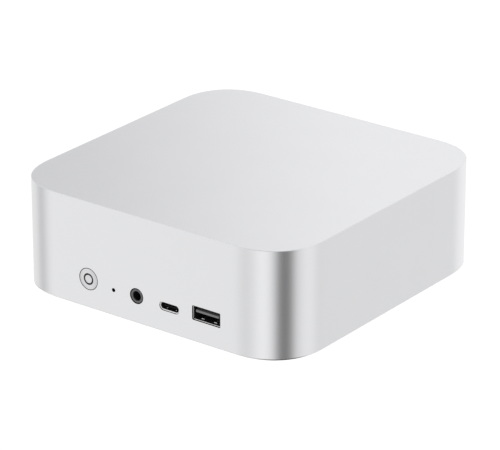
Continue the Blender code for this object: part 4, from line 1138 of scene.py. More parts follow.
@dataclass
class PowerButton:
    """The round button with the smoked ring in its groove, and the sleeves of the button and the pin."""

    flange_reach: float = 1.47 * MM
    flange: float = 0.8 * MM
    stem: float = 2.2 * MM
    stem_length: float = 1.7 * MM
    ring_width: float = 0.55 * MM
    ring_sink: float = 0.05 * MM
    groove_gap: float = 0.1 * MM
    edge: float = 0.05 * MM
    sleeve_sink: float = 0.06 * MM
    pin_room: float = 0.15 * MM
    pin_sink: float = 0.45 * MM
    sleeve_share: Pair = (0.25, 0.98)

    def build(self) -> None:
        """Model the cap, its ring and the sleeves, and dress the switches behind them."""
        low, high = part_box("power_button")
        axis = axis_at("power_button", low.y)
        flange, ring = half_width("power_button"), half_width("power_light_ring")
        cap, lens = flange - self.flange_reach, ring - self.ring_width
        ring_low, ring_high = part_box("power_light_ring")
        depth = ring_high.y - ring_low.y
        inner, outer, floor = lens - self.groove_gap, ring + self.groove_gap, -depth - self.groove_gap
        back = low.y - high.y
        neck = back + self.stem_length
        shoulder = neck + self.flange
        bend = 0.3 * self.edge
        stations = [
            (self.stem, back), (self.stem, neck), (flange, neck), (flange, shoulder), (cap, shoulder),
            (cap, -self.edge), (cap - bend, -bend), (cap - self.edge, 0.0),
            (outer, 0.0), (outer, floor), (inner, floor), (inner, 0.0),
        ]
        button = Workpiece.turned("power_button_cap", stations, axis, Facing.FRONT, 96)
        # front paints shade on the cap's side walls and its groove walls
        metal = BlastedAluminium("button_aluminium", (0.715, 0.718, 0.728), front=low.y)
        button.settle(metal, Slot.SATIN, "power_button", body=Body.BUTTON)
        smoke = SmokedGuide("ring_guide", (0.020, 0.021, 0.023), skin=0.12)
        ring_span = (-self.ring_sink, -depth)
        guide = self.tube("power_ring_guide", (lens, ring), ring_span, axis)
        guide.settle(smoke, Slot.GUIDE, "power_light_ring", body=Body.BUTTON)
        pin = Housing.pinhole - self.pin_room
        self.sleeve("power_button_sleeve", "power_button", cap, Housing.button_gap, self.sleeve_sink)
        self.sleeve("reset_pin_guide", "reset_plunger", pin, self.pin_room, self.pin_sink)
        dress(MouldedPlastic("plunger_plastic", (0.030, 0.030, 0.032), 0.45), "power_switch_plunger")
        # near black and dull: the reset plunger's colour is painted shade deep in the pinhole
        dress(MouldedPlastic("reset_plastic", (0.003, 0.003, 0.0033), 0.60, gloss=0.04), "reset_plunger")
        dress(MouldedPlastic("switch_plastic", (0.016, 0.016, 0.017), 0.40), "power_switch", "reset_switch")

    @staticmethod
    def tube(name: str, radii: Pair, span: Pair, axis: Vector) -> Workpiece:
        """Turn a plain tube that faces the front.

        Args:
            name: The tube's name.
            radii: Its inner and outer radius.
            span: The heights of its front and back.
            axis: The point on its axis at height 0.

        Returns:
            The tube.
        """
        (inner, outer), (front, back) = radii, span
        profile = [(outer, front), (inner, front), (inner, back), (outer, back)]
        return Workpiece.turned(name, profile, axis, Facing.FRONT, 96, ring=True)

    def sleeve(self, name: str, node: str, bore: float, room: float, sink: float) -> None:
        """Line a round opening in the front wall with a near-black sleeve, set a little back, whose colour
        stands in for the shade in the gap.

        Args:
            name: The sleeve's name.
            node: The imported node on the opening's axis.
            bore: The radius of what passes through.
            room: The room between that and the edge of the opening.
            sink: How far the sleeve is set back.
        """
        axis = axis_at(node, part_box("unibody_shell")[0].y)
        radii = tuple(bore + share * room for share in self.sleeve_share)
        # near black: painted shade in the gap round the button and in the pinhole
        plastic = MouldedPlastic("shade_sleeve_plastic", (0.003, 0.003, 0.0033), 0.60, gloss=0.06)
        self.tube(name, radii, (-sink, -Housing.wall), axis).settle(plastic, Slot.DARK)


@dataclass
class HeadphoneJack:
    """The headphone jack: a boxed body with a bored nose, and a plain collar flush with the front."""

    collar: float = 2.9 * MM
    collar_depth: float = 0.38 * MM
    bore: float = 1.9 * MM
    rim: float = 2.85 * MM
    lip: float = 0.07 * MM
    nose: float = 2.4 * MM
    nose_sink: float = 0.4 * MM
    depth: float = 10.5 * MM
    body: float = 4.5 * MM
    body_gap: float = 0.1 * MM
    body_corner: float = 0.5 * MM

    @staticmethod
    def axis_point(face: float) -> Vector:
        """Return the point on the jack's axis at this y."""
        low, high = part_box("front_audio_jack")
        return Vector(((low.x + high.x) / 2, face, high.z - HeadphoneJack.collar))

    def build(self) -> None:
        """Model the body and the collar."""
        low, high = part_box("front_audio_jack")
        axis = self.axis_point(low.y)
        wall = Housing.wall + self.body_gap
        corners = (low.x, low.y + wall, low.z), (high.x, high.y, low.z + self.body)
        body = Workpiece.block("headphone_body", *corners)
        body.edges(runs_along(Y)).bevel(self.body_corner, 3)
        nose = (-wall - OVERRUN, -self.nose_sink)
        body.combine(Combine.JOIN, Workpiece.rod("nose", self.nose, nose, axis, Facing.FRONT, 64))
        drill = (-self.depth, OVERRUN)
        body.combine(Combine.CUT, Workpiece.rod("drill", self.bore, drill, axis, Facing.FRONT, 48))
        plastic = MouldedPlastic("jack_plastic", (0.004, 0.004, 0.0045), 0.50, gloss=0.15)
        body.settle(plastic, Slot.DARK, "front_audio_jack")
        inner = self.bore + self.lip
        profile = [
            (self.rim, -self.lip), (self.rim - self.lip, 0.0), (self.bore + 2 * self.lip, 0.0),
            (inner, -2 * self.lip), (inner, -self.collar_depth), (self.rim, -self.collar_depth),
        ]
        collar = Workpiece.turned("headphone_collar", profile, axis, Facing.FRONT, 96, ring=True)
        collar.settle(MouldedPlastic("jack_collar_plastic", (0.072, 0.073, 0.075), 0.42), Slot.GREY)


@dataclass
class ShelledSocket:
    """A drawn steel socket with a contact tongue, and spring fingers where it has them."""

    node: str
    facing: Facing
    corner: float
    corners: Corners = Corners.ROUND
    cut_round: float = 0.3 * MM
    wall: float = 0.35 * MM
    back: float = 0.7 * MM
    lip: float = 0.03 * MM
    roll: float = 0.28 * MM
    # lit, shadow and roof_shade set the painted shadow behind the mouth and under the roof
    lit: float = 0.08 * MM
    shadow: float = 0.5 * MM
    roof_shade: float = 0.0
    tongue_colour: Colour = (0.10, 0.10, 0.105)
    tongue_gloss: float = 0.45
    tip_reach: float = 0.3 * MM
    tip_corner: float = 0.45 * MM
    tip_end: float = 0.5 * MM
    blade_root: float = 0.8 * MM
    plate: float = 1.6 * MM
    plate_gap: float = 0.2 * MM
    plate_inset: Pair = (0.6 * MM, 0.9 * MM)
    contacts: int = 4
    contact_width: float = 1.0 * MM
    contact_share: float = 0.8
    contact_run: Pair = (0.5 * MM, 4.0 * MM)
    contact_drop: Pair = (0.06 * MM, 0.005 * MM)
    contact_edge: float = 0.02 * MM
    springs: bool = False
    finger_start: float = 1.42 * MM
    finger_length: float = 5.38 * MM
    finger_width: float = 1.4 * MM
    finger_rise: float = 0.27 * MM
    finger_gap: float = 0.02 * MM
    finger_place: float = 0.225

    def build(self) -> None:
        """Model the shell, its tongue and contacts, and its spring fingers."""
        low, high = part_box(f"{self.node}_shell")
        mouth, _ = self.facing.ends(low, high)
        can = Workpiece.block(f"{self.node}_can", low, high)
        self.shape_corners(can, low, high)
        can.faces(flat_at(Y, mouth)).inset(self.wall)
        can.extrude((0.0, -self.facing.sign * (high.y - low.y - self.back), 0.0))
        can.edges(both(lies_at(Y, mouth), faces_inward((low + high) / 2))).bevel(self.roll, 4)
        can.edges(lies_at(Y, mouth)).bevel(self.lip, 2)
        steel = PlatedSteel(
            f"{self.node}_steel", abs(mouth), self.facing.sign, self.shadow, self.lit,
            high.z - self.wall, self.roof_shade,
        )
        can.settle(steel, Slot.STEEL, f"{self.node}_shell")
        self.tongue()
        if self.springs:
            self.spring_fingers(low, high, mouth, f"{self.node}_springs")

    def shape_corners(self, shell: Workpiece, low: Vector, high: Vector) -> None:
        """Round or cut the long edges of a shell.

        Args:
            shell: The shell's block.
            low: Its lowest corner.
            high: Its highest corner.
        """
        centre = (low + high) / 2
        if self.corners is Corners.ROUND:
            shell.edges(runs_along(Y)).bevel(self.corner, 10)
            return

        def is_cut(edge: Edge) -> bool:
            """Return whether an edge is one of the lower ones that are cut."""
            at, tapered = edge.verts[0].co, self.corners is Corners.TAPERED
            return runs_along(Y)(edge) and at.z < centre.z and (tapered or at.x > centre.x)

        shell.edges(is_cut).bevel(self.corner, 1)
        shell.edges(runs_along(Y)).bevel(self.cut_round, 4)

    def tongue(self) -> None:
        """Model the tongue on its base plate, and the row of plated contacts on it."""
        low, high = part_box(f"{self.node}_tongue")
        inward = -self.facing.sign
        tip, root = self.facing.ends(low, high)
        points = [vert.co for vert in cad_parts[f"{self.node}_tongue"].data.vertices]
        ends = [co for co in points if abs(co.y - tip) < self.tip_reach]
        width = max(co.x for co in ends) - min(co.x for co in ends)
        top, bottom = max(co.z for co in ends), min(co.z for co in ends)
        x = middle(f"{self.node}_shell").x
        ys = (tip, root - inward * self.blade_root)
        tongue = Workpiece.bar(f"{self.node}_blade", x, width / 2, ys, (bottom, top))
        tongue.edges(both(runs_along(Z), lies_at(Y, tip))).bevel(self.tip_corner, 4)

        def is_tip_rim(edge: Edge) -> bool:
            """Return whether an edge is on the rim of the tip."""
            near = all(abs(vert.co.y - tip) < self.tip_end for vert in edge.verts)
            return near and not runs_along(Z)(edge)

        tongue.edges(is_tip_rim).bevel(0.3 * (top - bottom), 3)
        near, far = sorted((root, root - inward * self.plate))
        least, most = self.plate_inset
        inset = min(self.corner, least) if self.corners is Corners.ROUND else most
        grow = Vector((inset, 0.0, self.plate_gap))
        corners = Vector((low.x, near, low.z)) + grow, Vector((high.x, far, high.z)) - grow
        tongue.combine(Combine.JOIN, Workpiece.block("plate", *corners))
        tongue.settle(self.tongue_plastic(), Slot.GREY, f"{self.node}_tongue")
        self.contact_row(x, width, bottom, tip)

    def tongue_plastic(self) -> MouldedPlastic:
        """Return the finish of the tongue."""
        name = f"{self.node}_tongue_plastic"
        return MouldedPlastic(name, self.tongue_colour, 0.42, 0.2 * MM, 0.008 * MM, self.tongue_gloss)

    def contact_row(self, x: float, width: float, level: float, tip: float) -> None:
        """Lay plated contacts in a row under the tongue.

        Args:
            x: The middle of the tongue.
            width: The tongue's width.
            level: The height of the tongue's underside.
            tip: The y of the tongue's tip.
        """
        pitch = self.contact_share * width / self.contacts
        left = x - pitch * (self.contacts - 1) / 2
        ys = tuple(tip - self.facing.sign * run for run in self.contact_run)
        zs = tuple(level - drop for drop in self.contact_drop)
        strip = Workpiece.bar(f"{self.node}_contacts", left, self.contact_width / 2, ys, zs)
        strip.edges(runs_along(Y)).bevel(self.contact_edge, 1)
        strip.row(self.contacts, (pitch, 0.0, 0.0))
        strip.settle(GOLD, Slot.COPPER)

    def spring_fingers(self, low: Vector, high: Vector, mouth: float, name: str) -> None:
        """Bend two spring fingers up from the floor of the shell.

        Args:
            low: The shell's lowest corner.
            high: The shell's highest corner.
            mouth: The y of the mouth.
            name: The piece's name.
        """
        inward = -self.facing.sign
        floor = low.z + self.wall + self.finger_gap
        top = floor + self.finger_rise
        first = mouth + inward * self.finger_start
        last = first + inward * self.finger_length
        offset = self.finger_place * (high.x - low.x)
        left = (low.x + high.x) / 2 - offset
        finger = Workpiece.bar(name, left, self.finger_width / 2, (first, last), (floor, top))
        finger.edges(both(lies_at(Y, last), lies_at(Z, top))).move((0.0, 0.0, -0.7 * self.finger_rise))
        finger.edges(both(lies_at(Y, first), lies_at(Z, top))).bevel(0.95 * self.finger_rise, 6)
        finger.row(2, (2 * offset, 0.0, 0.0))
        finger.settle(PlatedSteel("spring_steel"), Slot.STEEL)


@dataclass
class StackedSocket(ShelledSocket):
    """Two wide sockets in one can, one above the other."""

    node: str = "rear_stack_socket"
    facing: Facing = Facing.REAR
    corner: float = 0.5 * MM
    rise: float = 7.8 * MM
    depth: float = 11.4 * MM
    opening: float = 4.9 * MM
    opening_corner: float = 0.2 * MM
    blade_width: float = 11.1 * MM
    blade_lift: float = 2.4 * MM
    blade_height: float = 1.2 * MM
    blade_sink: float = 0.15 * MM
    blade_gap: float = 0.05 * MM
    blade_round: float = 0.5 * MM

    def build(self) -> None:
        """Model the can with its two mouths, the tongues and the spring fingers."""
        low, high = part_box(f"{self.node}_shell")
        mouth, floor = high.y, low.z + self.wall
        up = (0.0, 0.0, self.rise)
        can = Workpiece.block(f"{self.node}_can", low, high)
        can.edges(runs_along(Y)).bevel(self.corner, 5)
        tool = Workpiece.block(
            "mouth_mill", (low.x + self.wall, mouth - self.depth, floor),
            (high.x - self.wall, mouth + OVERRUN, floor + self.opening),
        )
        tool.edges(runs_along(Y)).bevel(self.opening_corner, 3)
        can.combine(Combine.CUT, tool.row(2, up))
        can.edges(lies_at(Y, mouth)).bevel(self.lip, 2)
        can.settle(PlatedSteel(f"{self.node}_steel", mouth), Slot.STEEL, f"{self.node}_shell")
        x, bottom, tip = (low.x + high.x) / 2, floor + self.blade_lift, mouth - self.blade_sink
        ys, zs = (mouth - self.depth + self.blade_gap, tip), (bottom, bottom + self.blade_height)
        blade = Workpiece.bar(f"{self.node}_blade", x, self.blade_width / 2, ys, zs)
        blade.edges(both(runs_along(X), lies_at(Y, tip))).bevel(self.blade_round, 3)
        blade.row(2, up).settle(self.tongue_plastic(), Slot.GREY, f"{self.node}_tongues")
        for level in range(2):
            base = Vector((low.x, low.y, low.z + level * self.rise))
            self.spring_fingers(base, high, mouth, f"{self.node}_springs_{level}")


@dataclass
class NetworkSocket:
    """The network socket: a shielded box with a stepped mouth, two lamp windows and sprung contacts."""

    node: str = "network_socket"
    corner: float = 0.35 * MM
    edge: float = 0.12 * MM
    cavity: tuple[float, float, float] = (11.9 * MM, 12.5 * MM, 7.2 * MM)
    latch: Pair = (6.2 * MM, 1.2 * MM)
    floor: float = 3.2 * MM
    shadow: float = 3.0 * MM
    lamp: Pair = (2.8 * MM, 1.3 * MM)
    lamp_lift: float = 0.9 * MM
    lamp_inset: float = 1.0 * MM
    lamp_depth: float = 1.0 * MM
    lamp_gap: float = 0.06 * MM
    lamp_sink: float = 0.08 * MM
    lamp_round: float = 0.15 * MM
    green: Colour = (0.16, 0.20, 0.10)
    amber: Colour = (0.22, 0.17, 0.08)

    def build(self) -> None:
        """Model the box and its lamps, and dress its contacts."""
        low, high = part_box(self.node)
        x, mouth = (low.x + high.x) / 2, high.y
        width, depth, height = self.cavity
        key_width, key_drop = self.latch
        lamp_width, lamp_height = self.lamp
        floor = low.z + self.floor
        box = Workpiece.block("network_box", low, high)
        box.edges(runs_along(Y)).bevel(self.corner, 3)
        ys = (mouth - depth, mouth + OVERRUN)
        plug = Workpiece.bar("plug_mill", x, width / 2, ys, (floor, floor + height))
        key = Workpiece.bar("key_mill", x, key_width / 2, ys, (floor - key_drop, floor + OVERRUN))
        box.combine(Combine.CUT, plug, key)
        lamp_z = floor + height + self.lamp_lift
        for side, left, tint in (
            ("left", low.x + self.lamp_inset, self.green),
            ("right", high.x - self.lamp_inset - lamp_width, self.amber),
        ):
            corner = Vector((left, mouth - self.lamp_depth, lamp_z))
            far = Vector((left + lamp_width, mouth + OVERRUN, lamp_z + lamp_height))
            box.combine(Combine.CUT, Workpiece.block("lamp_mill", corner, far))
            gap = Vector((self.lamp_gap, 0.0, self.lamp_gap))
            near = Vector((far.x, mouth - self.lamp_sink, far.z))
            lamp = Workpiece.block(f"network_lamp_{side}", corner + gap, near - gap)
            lamp.edges(lies_at(Y, near.y)).bevel(self.lamp_round, 3)
            lamp.settle(SmokedGuide(f"lamp_window_{side}", tint, 0.2), Slot.GUIDE)
        box.edges(lies_at(Y, mouth)).bevel(self.edge, 2)
        steel = PlatedSteel("network_box_steel", mouth, shadow=self.shadow)
        box.settle(steel, Slot.STEEL, self.node)
        dress(GOLD, "network_contacts")


@dataclass
class PowerInlet:
    """The power inlet: a boxed body with a round collar, a flared bore and a hollow centre pin."""

    collar: float = 3.9 * MM
    collar_edge: float = 0.25 * MM
    bore: float = 3.2 * MM
    depth: float = 11.2 * MM
    flare_depth: float = 0.3 * MM
    flare_end: Pair = (0.4 * MM, 0.5 * MM)
    shoulder: float = 3.5 * MM
    corner: float = 0.6 * MM
    pin_tip: tuple[Pair, ...] = (
        (1.0, -0.5 * MM), (0.92, -0.2 * MM), (0.6, 0.0), (0.45, 0.0), (0.45, -2.0 * MM),
    )

    def build(self) -> None:
        """Model the body with its collar, and the pin with its hollow tip."""
        low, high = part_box("power_inlet")
        axis = axis_at("power_inlet_pin", high.y)
        body = Workpiece.block("inlet_body", low, (high.x, high.y - self.shoulder, high.z))
        body.edges(runs_along(Y)).bevel(self.corner, 4)
        nose = [
            (self.collar, -self.shoulder - OVERRUN), (self.collar, -self.collar_edge),
            (self.collar - self.collar_edge, 0.0),
        ]
        body.combine(Combine.JOIN, Workpiece.turned("nose", nose, axis, Facing.REAR, 64))
        widen, end = self.flare_end
        drill = [(self.bore, -self.depth), (self.bore, -self.flare_depth), (self.bore + widen, end)]
        body.combine(Combine.CUT, Workpiece.turned("drill", drill, axis, Facing.REAR, 64))
        body.settle(MouldedPlastic("inlet_plastic", (0.012, 0.012, 0.013), 0.42), Slot.DARK, "power_inlet")
        start, tip = (corner.y - axis.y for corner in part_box("power_inlet_pin"))
        radius = half_width("power_inlet_pin")
        stations = [(radius, start)] + [(share * radius, tip + height) for share, height in self.pin_tip]
        pin = Workpiece.turned("inlet_pin", stations, axis, Facing.REAR, 48)
        pin.settle(PlatedSteel("inlet_pin_steel"), Slot.STEEL, "power_inlet_pin")


@dataclass
class RearPanel:
    """The moulded rear panel: a flange behind the housing wall, vents over a row of socket openings."""

    flange_reach: float = 2.0 * MM
    flange: float = 1.4 * MM
    corner: float = 3.0 * MM
    gap: float = 0.25 * MM
    box_corner: float = 0.5 * MM
    vents: int = 17
    vent_pitch: float = 4.9 * MM
    vent_width: float = 2.7 * MM
    vent_zs: Pair = (31.0 * MM, 40.2 * MM)
    edge: float = 0.2 * MM

    @staticmethod
    def plate_box() -> tuple[Vector, Vector]:
        """Find the plate that shows in the housing's opening.

        Returns:
            Its lowest and highest corners.
        """
        low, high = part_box("rear_panel")
        reach = Vector((RearPanel.flange_reach, 0.0, RearPanel.flange_reach))
        return low + reach, high - reach

    def build(self) -> None:
        """Model the panel, cut its openings and dress it."""
        low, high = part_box("rear_panel")
        step = low.y + self.flange
        panel = Workpiece.block("rear_plate", low, (high.x, step, high.z))
        panel.edges(runs_along(Y)).bevel(self.corner, 6)
        panel.faces(flat_at(Y, step)).inset(self.flange_reach)
        panel.extrude((0.0, high.y - low.y - self.flange, 0.0))
        ys = (low.y - OVERRUN, high.y + OVERRUN)
        panel.combine(Combine.CUT, *self.socket_tools(ys), self.vent_tool(ys))
        panel.edges(lies_at(Y, high.y)).bevel(self.edge, 2)
        plastic = MouldedPlastic("rear_panel_plastic", (0.018, 0.0185, 0.020), 0.55, 0.45 * MM, 0.03 * MM)
        panel.settle(plastic, Slot.DARK, "rear_panel")

    def vent_tool(self, ys: Pair) -> Workpiece:
        """Make one tool with every vent in it.

        Args:
            ys: The y where the vents begin and end.

        Returns:
            The tool.
        """
        left = -self.vent_pitch * (self.vents - 1) / 2
        half = self.vent_width / 2
        tool = Workpiece.bar("vent_mill", left, half, ys, self.vent_zs)
        tool.edges(runs_along(Y)).bevel(0.99 * half, 6)
        return tool.row(self.vents, (self.vent_pitch, 0.0, 0.0))

    def socket_tools(self, ys: Pair) -> list[Workpiece]:
        """Make the tools that cut the socket openings.

        Args:
            ys: The y where the openings begin and end.

        Returns:
            The tools.
        """
        tools = []
        for socket in REAR_SOCKETS:
            tool = self.opening(f"{socket.node}_shell", ys)
            socket.shape_corners(tool, *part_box(f"{socket.node}_shell"))
            tools.append(tool)
        for node in ("rear_stack_socket_shell", "network_socket"):
            tools.append(self.opening(node, ys).edges(runs_along(Y)).bevel(self.box_corner, 3))
        axis, radius = axis_at("power_inlet_pin", 0.0), PowerInlet.collar + self.gap
        return tools + [Workpiece.rod("inlet_drill", radius, ys, axis, Facing.REAR, 64)]

    def opening(self, node: str, ys: Pair) -> Workpiece:
        """Make a block that clears a socket all round.

        Args:
            node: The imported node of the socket.
            ys: The y where the block begins and ends.

        Returns:
            The block.
        """
        low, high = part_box(node)
        x, half = (low.x + high.x) / 2, (high.x - low.x) / 2 + self.gap
        return Workpiece.bar("socket_mill", x, half, ys, (low.z - self.gap, high.z + self.gap))


@dataclass
class Base:
    """The base: a cover with a slotted intake, the filter on its inside and four rubber feet."""

    corner: float = 19.2 * MM
    chamfer: float = 0.5 * MM
    thickness: float = 1.8 * MM
    grille: float = 44.0 * MM
    pitch: float = 6.6 * MM
    slot: float = 3.0 * MM
    slot_edge: float = 0.25 * MM
    spine: float = 5.0 * MM
    boss: float = 4.4 * MM
    boss_root: float = 0.4 * MM
    clamp: float = 1.7 * MM
    screw_hole: float = 1.5 * MM
    hole_depth: float = 4.0 * MM
    filter_rim: float = 2.0 * MM
    filter_edge: float = 0.1 * MM
    strand: float = 0.32 * MM
    strand_pitch: float = 1.6 * MM
    strand_gap: float = 0.02 * MM
    foot_gap: float = 0.3 * MM
    foot_edge: float = 0.5 * MM
    groove: float = 0.25 * MM
    groove_rims: Pair = (0.72, 0.40)
    groove_shares: tuple[float, float, float] = (0.04, 0.12, 0.16)

    def build(self) -> None:
        """Model the cover, the filter and the feet, and dress the screws."""
        low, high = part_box("bottom_cover")
        top = low.z + self.thickness
        cover = Workpiece.block("base_cover", low, (high.x, high.y, top))
        cover.edges(runs_along(Z)).bevel(self.corner, 24)
        cover.edges(lies_at(Z, low.z)).bevel(self.chamfer, 3)
        boss = [(self.boss, top - self.boss_root), (self.boss, high.z)]
        pockets = self.over_feet("pocket", self.pocket(low.z), 48)
        cover.combine(Combine.JOIN, *self.over_feet("boss", boss, 40))
        cover.combine(Combine.CUT, *pockets, self.grille_tool(low.z, top))
        cover.edges(both(lies_at(Z, low.z), within(X, self.grille + OVERRUN))).bevel(self.slot_edge, 2)
        plastic = MouldedPlastic("base_plastic", (0.020, 0.0205, 0.022), 0.58, 0.5 * MM, 0.035 * MM)
        cover.settle(plastic, Slot.DARK, "bottom_cover")
        self.filter()
        for node in FEET:
            self.foot(node)
        dress(PlatedSteel("screw_steel"), *(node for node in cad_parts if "_screw_" in node))

    @staticmethod
    def over_feet(name: str, stations: list[Pair], sides: int) -> list[Workpiece]:
        """Turn the same tool over every foot."""
        return [Workpiece.turned(name, stations, below(node), Facing.UP, sides) for node in FEET]

    def pocket(self, low: float) -> list[Pair]:
        """Draw the profile of a foot's pocket, its screw head's pocket and its screw's hole.

        Args:
            low: The underside of the cover.

        Returns:
            The stations of a stepped tool.
        """
        screw = "cover_screw_front_left"
        foot, head = (half_width(node) + self.foot_gap for node in (FEET[0], screw))
        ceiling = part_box(FEET[0])[1].z + self.foot_gap
        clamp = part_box(screw)[0].z + self.clamp
        return [
            (foot, low - OVERRUN), (foot, ceiling), (head, ceiling), (head, clamp),
            (self.screw_hole, clamp), (self.screw_hole, clamp + self.hole_depth),
        ]

    def grille_tool(self, low: float, high: float) -> Workpiece:
        """Make one tool with every intake slot in it.

        Args:
            low: The underside of the cover.
            high: Its top.

        Returns:
            The tool.
        """
        slots = []
        half = self.slot / 2
        rows = int(self.grille / self.pitch)
        for row in range(-rows, rows + 1):
            y = row * self.pitch
            reach = math.sqrt(self.grille ** 2 - y ** 2)
            for side in (-1, 1):
                near, far = sorted((side * self.spine / 2, side * reach))
                corners = (near, y - half, low - OVERRUN), (far, y + half, high + OVERRUN)
                tool = Workpiece.block("slot_mill", *corners)
                slots.append(tool.edges(runs_along(Z)).bevel(0.98 * half, 5))
        return slots[0].gather(slots[1:])

    def filter(self) -> None:
        """Weave a filter of crossing strands inside a frame."""
        low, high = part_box("dust_filter")
        rim = self.filter_rim
        edge = Workpiece.block("filter_frame", low, high)
        edge.edges(runs_along(Z)).bevel(rim, 5)
        inside = Vector((rim, rim, -rim))
        edge.combine(Combine.CUT, Workpiece.block("window_mill", low + inside, high - inside))
        edge.edges(lies_at(Z, low.z)).bevel(self.filter_edge, 2)
        plastic = MouldedPlastic("filter_frame_plastic", (0.030, 0.031, 0.033), 0.5)
        edge.settle(plastic, Slot.MESH, "dust_filter")
        pitch, half = self.strand_pitch, self.strand / 2
        count = int((high.x - low.x - 2 * rim) / pitch)
        first = -pitch * (count - 1) / 2
        level = (low.z + high.z) / 2
        warp = (first - half, low.y + rim, level - half), (first + half, high.y - rim, level)
        weft = (
            (low.x + rim, first - half, level + self.strand_gap), (high.x - rim, first + half, level + half)
        )
        for name, corners, axis, step in (
            ("filter_warp", warp, Y, (pitch, 0.0, 0.0)), ("filter_weft", weft, X, (0.0, pitch, 0.0)),
        ):
            strand = Workpiece.block(name, *corners)
            strand.edges(runs_along(axis)).bevel(0.3 * half, 1)
            strand.row(count, step).settle(WovenStrand("filter_strand"), Slot.MESH)

    def foot(self, node: str) -> None:
        """Turn a foot with a dished, ringed tread.

        Args:
            node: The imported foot.
        """
        radius, edge = half_width(node), self.foot_edge
        stations = [
            (radius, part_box(node)[1].z), (radius, edge), (radius - 0.15 * edge, 0.45 * edge),
            (radius - 0.45 * edge, 0.15 * edge), (radius - edge, 0.0),
        ]
        for rim in self.groove_rims:
            outer, inner, end = ((rim - share) * radius for share in self.groove_shares)
            stations += [(rim * radius, 0.0), (outer, self.groove), (inner, self.groove), (end, 0.0)]
        foot = Workpiece.turned(f"{node}_pad", stations, below(node), Facing.UP, 64)
        foot.settle(FootRubber("foot_rubber"), Slot.RUBBER, node)


@dataclass
class Interior:
    """What the housing hides: the board and what is on it, and the cooler."""

    memory_board: float = 1.3 * MM
    drive_board: float = 0.9 * MM
    substrate: float = 1.05 * MM

    def build(self) -> None:
        """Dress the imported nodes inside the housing."""
        dress(SolderMask("board_mask"), "main_board", "antenna_left", "antenna_right")
        self.populated_boards()
        dress(Copper("cooler_copper"), "cold_plate", "heat_pipe_left", "heat_pipe_right", "blower_stator")
        dress(MillAluminium("fin_aluminium"), "fin_stack", "blower_cover")
        dress(MillAluminium("spreader_aluminium", streak=(1.0, 0.03, 1.0)), "storage_heat_spreader")
        blower = MouldedPlastic("blower_plastic", (0.022, 0.022, 0.024), 0.48, 0.6 * MM)
        dress(blower, "blower_housing", "blower_rotor")
        slots = MouldedPlastic("slot_plastic", (0.016, 0.016, 0.017), 0.40)
        dress(slots, "memory_socket_a", "memory_socket_b", "storage_socket")
        dress(PlatedSteel("shield_steel"), "wireless_module", "backup_cell")

    def populated_boards(self) -> None:
        """Dress the modules and the processor, whose chips stand off their boards."""
        level, half = middle("memory_module_a").z, self.memory_board / 2
        memory = SolderMask("memory_board", (level - half, level + half))
        dress(memory, "memory_module_a", "memory_module_b")
        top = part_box("storage_drive")[1].z
        dress(SolderMask("drive_board", (top - self.drive_board, top + OVERRUN)), "storage_drive")
        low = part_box("processor")[0].z
        span = (low - OVERRUN, low + self.substrate)
        dress(SolderMask("processor_board", span, (0.075, 0.080, 0.090), 0.12), "processor")


@dataclass(frozen=True)
class Panel:
    """A soft panel at a bearing in degrees, 0 at the front and 90 at +X, tighter on its left by its lean."""

    bearing: float
    reach: float
    soft: float
    level: float
    lean: float = 1.0

    def over(self, graph: Graph, turn: Value, light: object) -> Socket:
        """Lay the panel over the light that is already there.

        Args:
            graph: The world's node tree.
            turn: The bearing of each direction, in degrees.
            light: The colour of the light so far.

        Returns:
            The light with the panel in it.
        """
        off = (turn - self.bearing + 180.0).wrapped(360.0) - 180.0
        away = off.larger(-self.lean * off).eased(self.reach, self.reach + self.soft)
        return graph.mix(away, grey(self.level), light)


